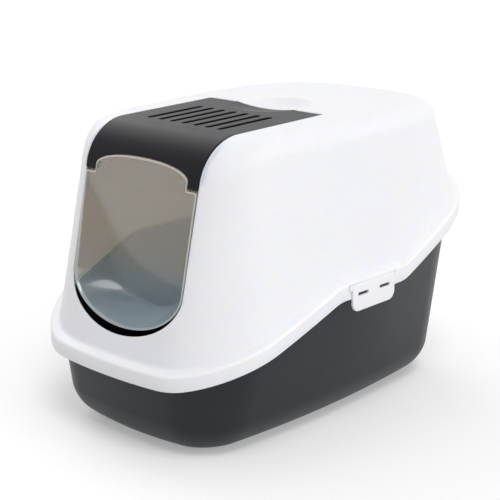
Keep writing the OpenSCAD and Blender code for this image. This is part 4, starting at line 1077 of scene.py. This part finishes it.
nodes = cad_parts
finish(white_hood, hood, *ledges, nodes["visor_socket_left"], nodes["visor_socket_right"])
finish(white_clip, *clips, *lugs)
finish(anthracite_tray, tray)
finish(anthracite_visor, visor, *knuckles)
finish(anthracite_visor, nodes["flap_bearing_left"], nodes["flap_bearing_right"], nodes["filter_lugs"])
finish(smoke_flap, flap, nodes["flap_pin_left"], nodes["flap_pin_right"])
finish(grey_holder, nodes["filter_holder"])
finish(charcoal_fleece, nodes["carbon_filter"])
print("materials:", [m.name for m in bpy.data.materials])

# %% [markdown]
# ## Floor and light
#
# A pale floor reaches past the view on every side, under a white sky. Both look white to the
# camera and in gloss, but light the box less than they show, so that its white hood keeps its
# shading. One key lamp from the front right, a weak one overhead and a soft fill from each side
# add the gentle modelling of a studio photograph. Area lamps would do too, but far lamps light
# every view alike.

# %% Make the floor
FLOOR_REACH, FLOOR_GREY, FLOOR_ROUGH, FLOOR_GLOW = 30000.0, 0.75, 0.9, 0.28


def backdrop_rays(tree):
    """1 for the rays that see the backdrop: from the camera, off gloss, or through clear pieces."""
    path = add(tree, "ShaderNodeLightPath")
    seen = path.outputs["Is Camera Ray"]
    for kind in ("Is Glossy Ray", "Is Transmission Ray"):
        either = add(tree, "ShaderNodeMath", operation="MAXIMUM")
        tree.links.new(seen, either.inputs[0])
        tree.links.new(path.outputs[kind], either.inputs[1])
        seen = either.outputs[0]
    return seen


corners = FLOOR_REACH * np.array([[-1, -1, 0], [1, -1, 0], [1, 1, 0], [-1, 1, 0]])
floor = new_piece("floor", corners, [[0, 1, 2, 3]])
pale_floor = bpy.data.materials.new("pale floor")
pale_floor.use_nodes = True
tree = pale_floor.node_tree
principled = tree.nodes["Principled BSDF"]
principled.inputs["Base Color"].default_value = (FLOOR_GREY, FLOOR_GREY, FLOOR_GREY, 1)
principled.inputs["Roughness"].default_value = FLOOR_ROUGH
principled.inputs["Specular IOR Level"].default_value = 0.0
principled.inputs["Emission Color"].default_value = (1, 1, 1, 1)
glow = add(tree, "ShaderNodeMath", operation="MULTIPLY")
tree.links.new(backdrop_rays(tree), glow.inputs[0])
glow.inputs[1].default_value = FLOOR_GLOW
tree.links.new(glow.outputs[0], principled.inputs["Emission Strength"])
finish(pale_floor, floor)
print("floor:", 2 * FLOOR_REACH * MM, "m across")

# %% Light the sky and hang the lamps
SKY_COLOUR, SKY, BACKDROP, LAMP_DISTANCE = (1.0, 0.99, 1.0, 1), 0.56, 1.0, 3.0

world = bpy.data.worlds.new("studio")
bpy.context.scene.world = world
world.use_nodes = True
sky = world.node_tree.nodes["Background"]
sky.inputs["Color"].default_value = SKY_COLOUR
bright = add(world.node_tree, "ShaderNodeMapRange", To_Min=SKY, To_Max=BACKDROP)
world.node_tree.links.new(backdrop_rays(world.node_tree), bright.inputs["Value"])
world.node_tree.links.new(bright.outputs["Result"], sky.inputs["Strength"])


def towards(azimuth, elevation):
    """A unit vector from the box: azimuth 0 is in front of it and 90 degrees to its right."""
    a, e = math.radians(azimuth), math.radians(elevation)
    return Vector((math.sin(a) * math.cos(e), -math.cos(a) * math.cos(e), math.sin(e)))


def lamp(name, azimuth, elevation, strength, spread):
    """A far lamp in a direction from the box; spread is its width in degrees."""
    light = bpy.data.lights.new(name, "SUN")
    light.energy, light.angle = strength, math.radians(spread)
    made = bpy.data.objects.new(name, light)
    bpy.context.scene.collection.objects.link(made)
    made.rotation_euler = towards(azimuth, elevation).to_track_quat("Z", "Y").to_euler()
    made.location = towards(azimuth, elevation) * LAMP_DISTANCE


lamp("key", 58, 62, 0.9, 26)
lamp("overhead", 120, 75, 0.15, 60)
lamp("side fill", 95, 15, 0.85, 40)
lamp("left fill", -110, 35, 0.65, 40)
print("lamps:", [light.name for light in bpy.data.lights])

# %% [markdown]
# ## The camera
#
# The camera stands where the photograph was taken from. Its place and lens come from matching some
# forty points of the outlines. A little lens shift puts the box at the photograph's place in the
# frame, which turning the camera would do too, but with other perspective lines.

# %% Place the camera
AZIMUTH, ELEVATION, DISTANCE, LOOK_AT_Z = 42.2, 15.9, 1.7556, 0.19
# The photograph's side, the lens's focal length and the pixel under the lens's axis, in pixels
FRAME_SIDE, FOCAL, AXIS_X, AXIS_Y = 500, 1323.0, 267.4, 248.2
SENSOR_MM, CLIP_NEAR, CLIP_FAR = 36.0, 0.05, 200.0

back = towards(AZIMUTH, ELEVATION)
lens = bpy.data.cameras.new("camera")
lens.sensor_width, lens.lens = SENSOR_MM, FOCAL / FRAME_SIDE * SENSOR_MM
lens.shift_x = -(AXIS_X - FRAME_SIDE / 2) / FRAME_SIDE
lens.shift_y = -(FRAME_SIDE / 2 - AXIS_Y) / FRAME_SIDE
lens.clip_start, lens.clip_end = CLIP_NEAR, CLIP_FAR
camera = bpy.data.objects.new("camera", lens)
bpy.context.scene.collection.objects.link(camera)
camera.location = Vector((0, 0, LOOK_AT_Z)) + back * DISTANCE
camera.rotation_euler = back.to_track_quat("Z", "Y").to_euler()
bpy.context.scene.camera = camera
bpy.context.scene.view_settings.view_transform = "Standard"
print("lens:", round(lens.lens, 2), "mm")
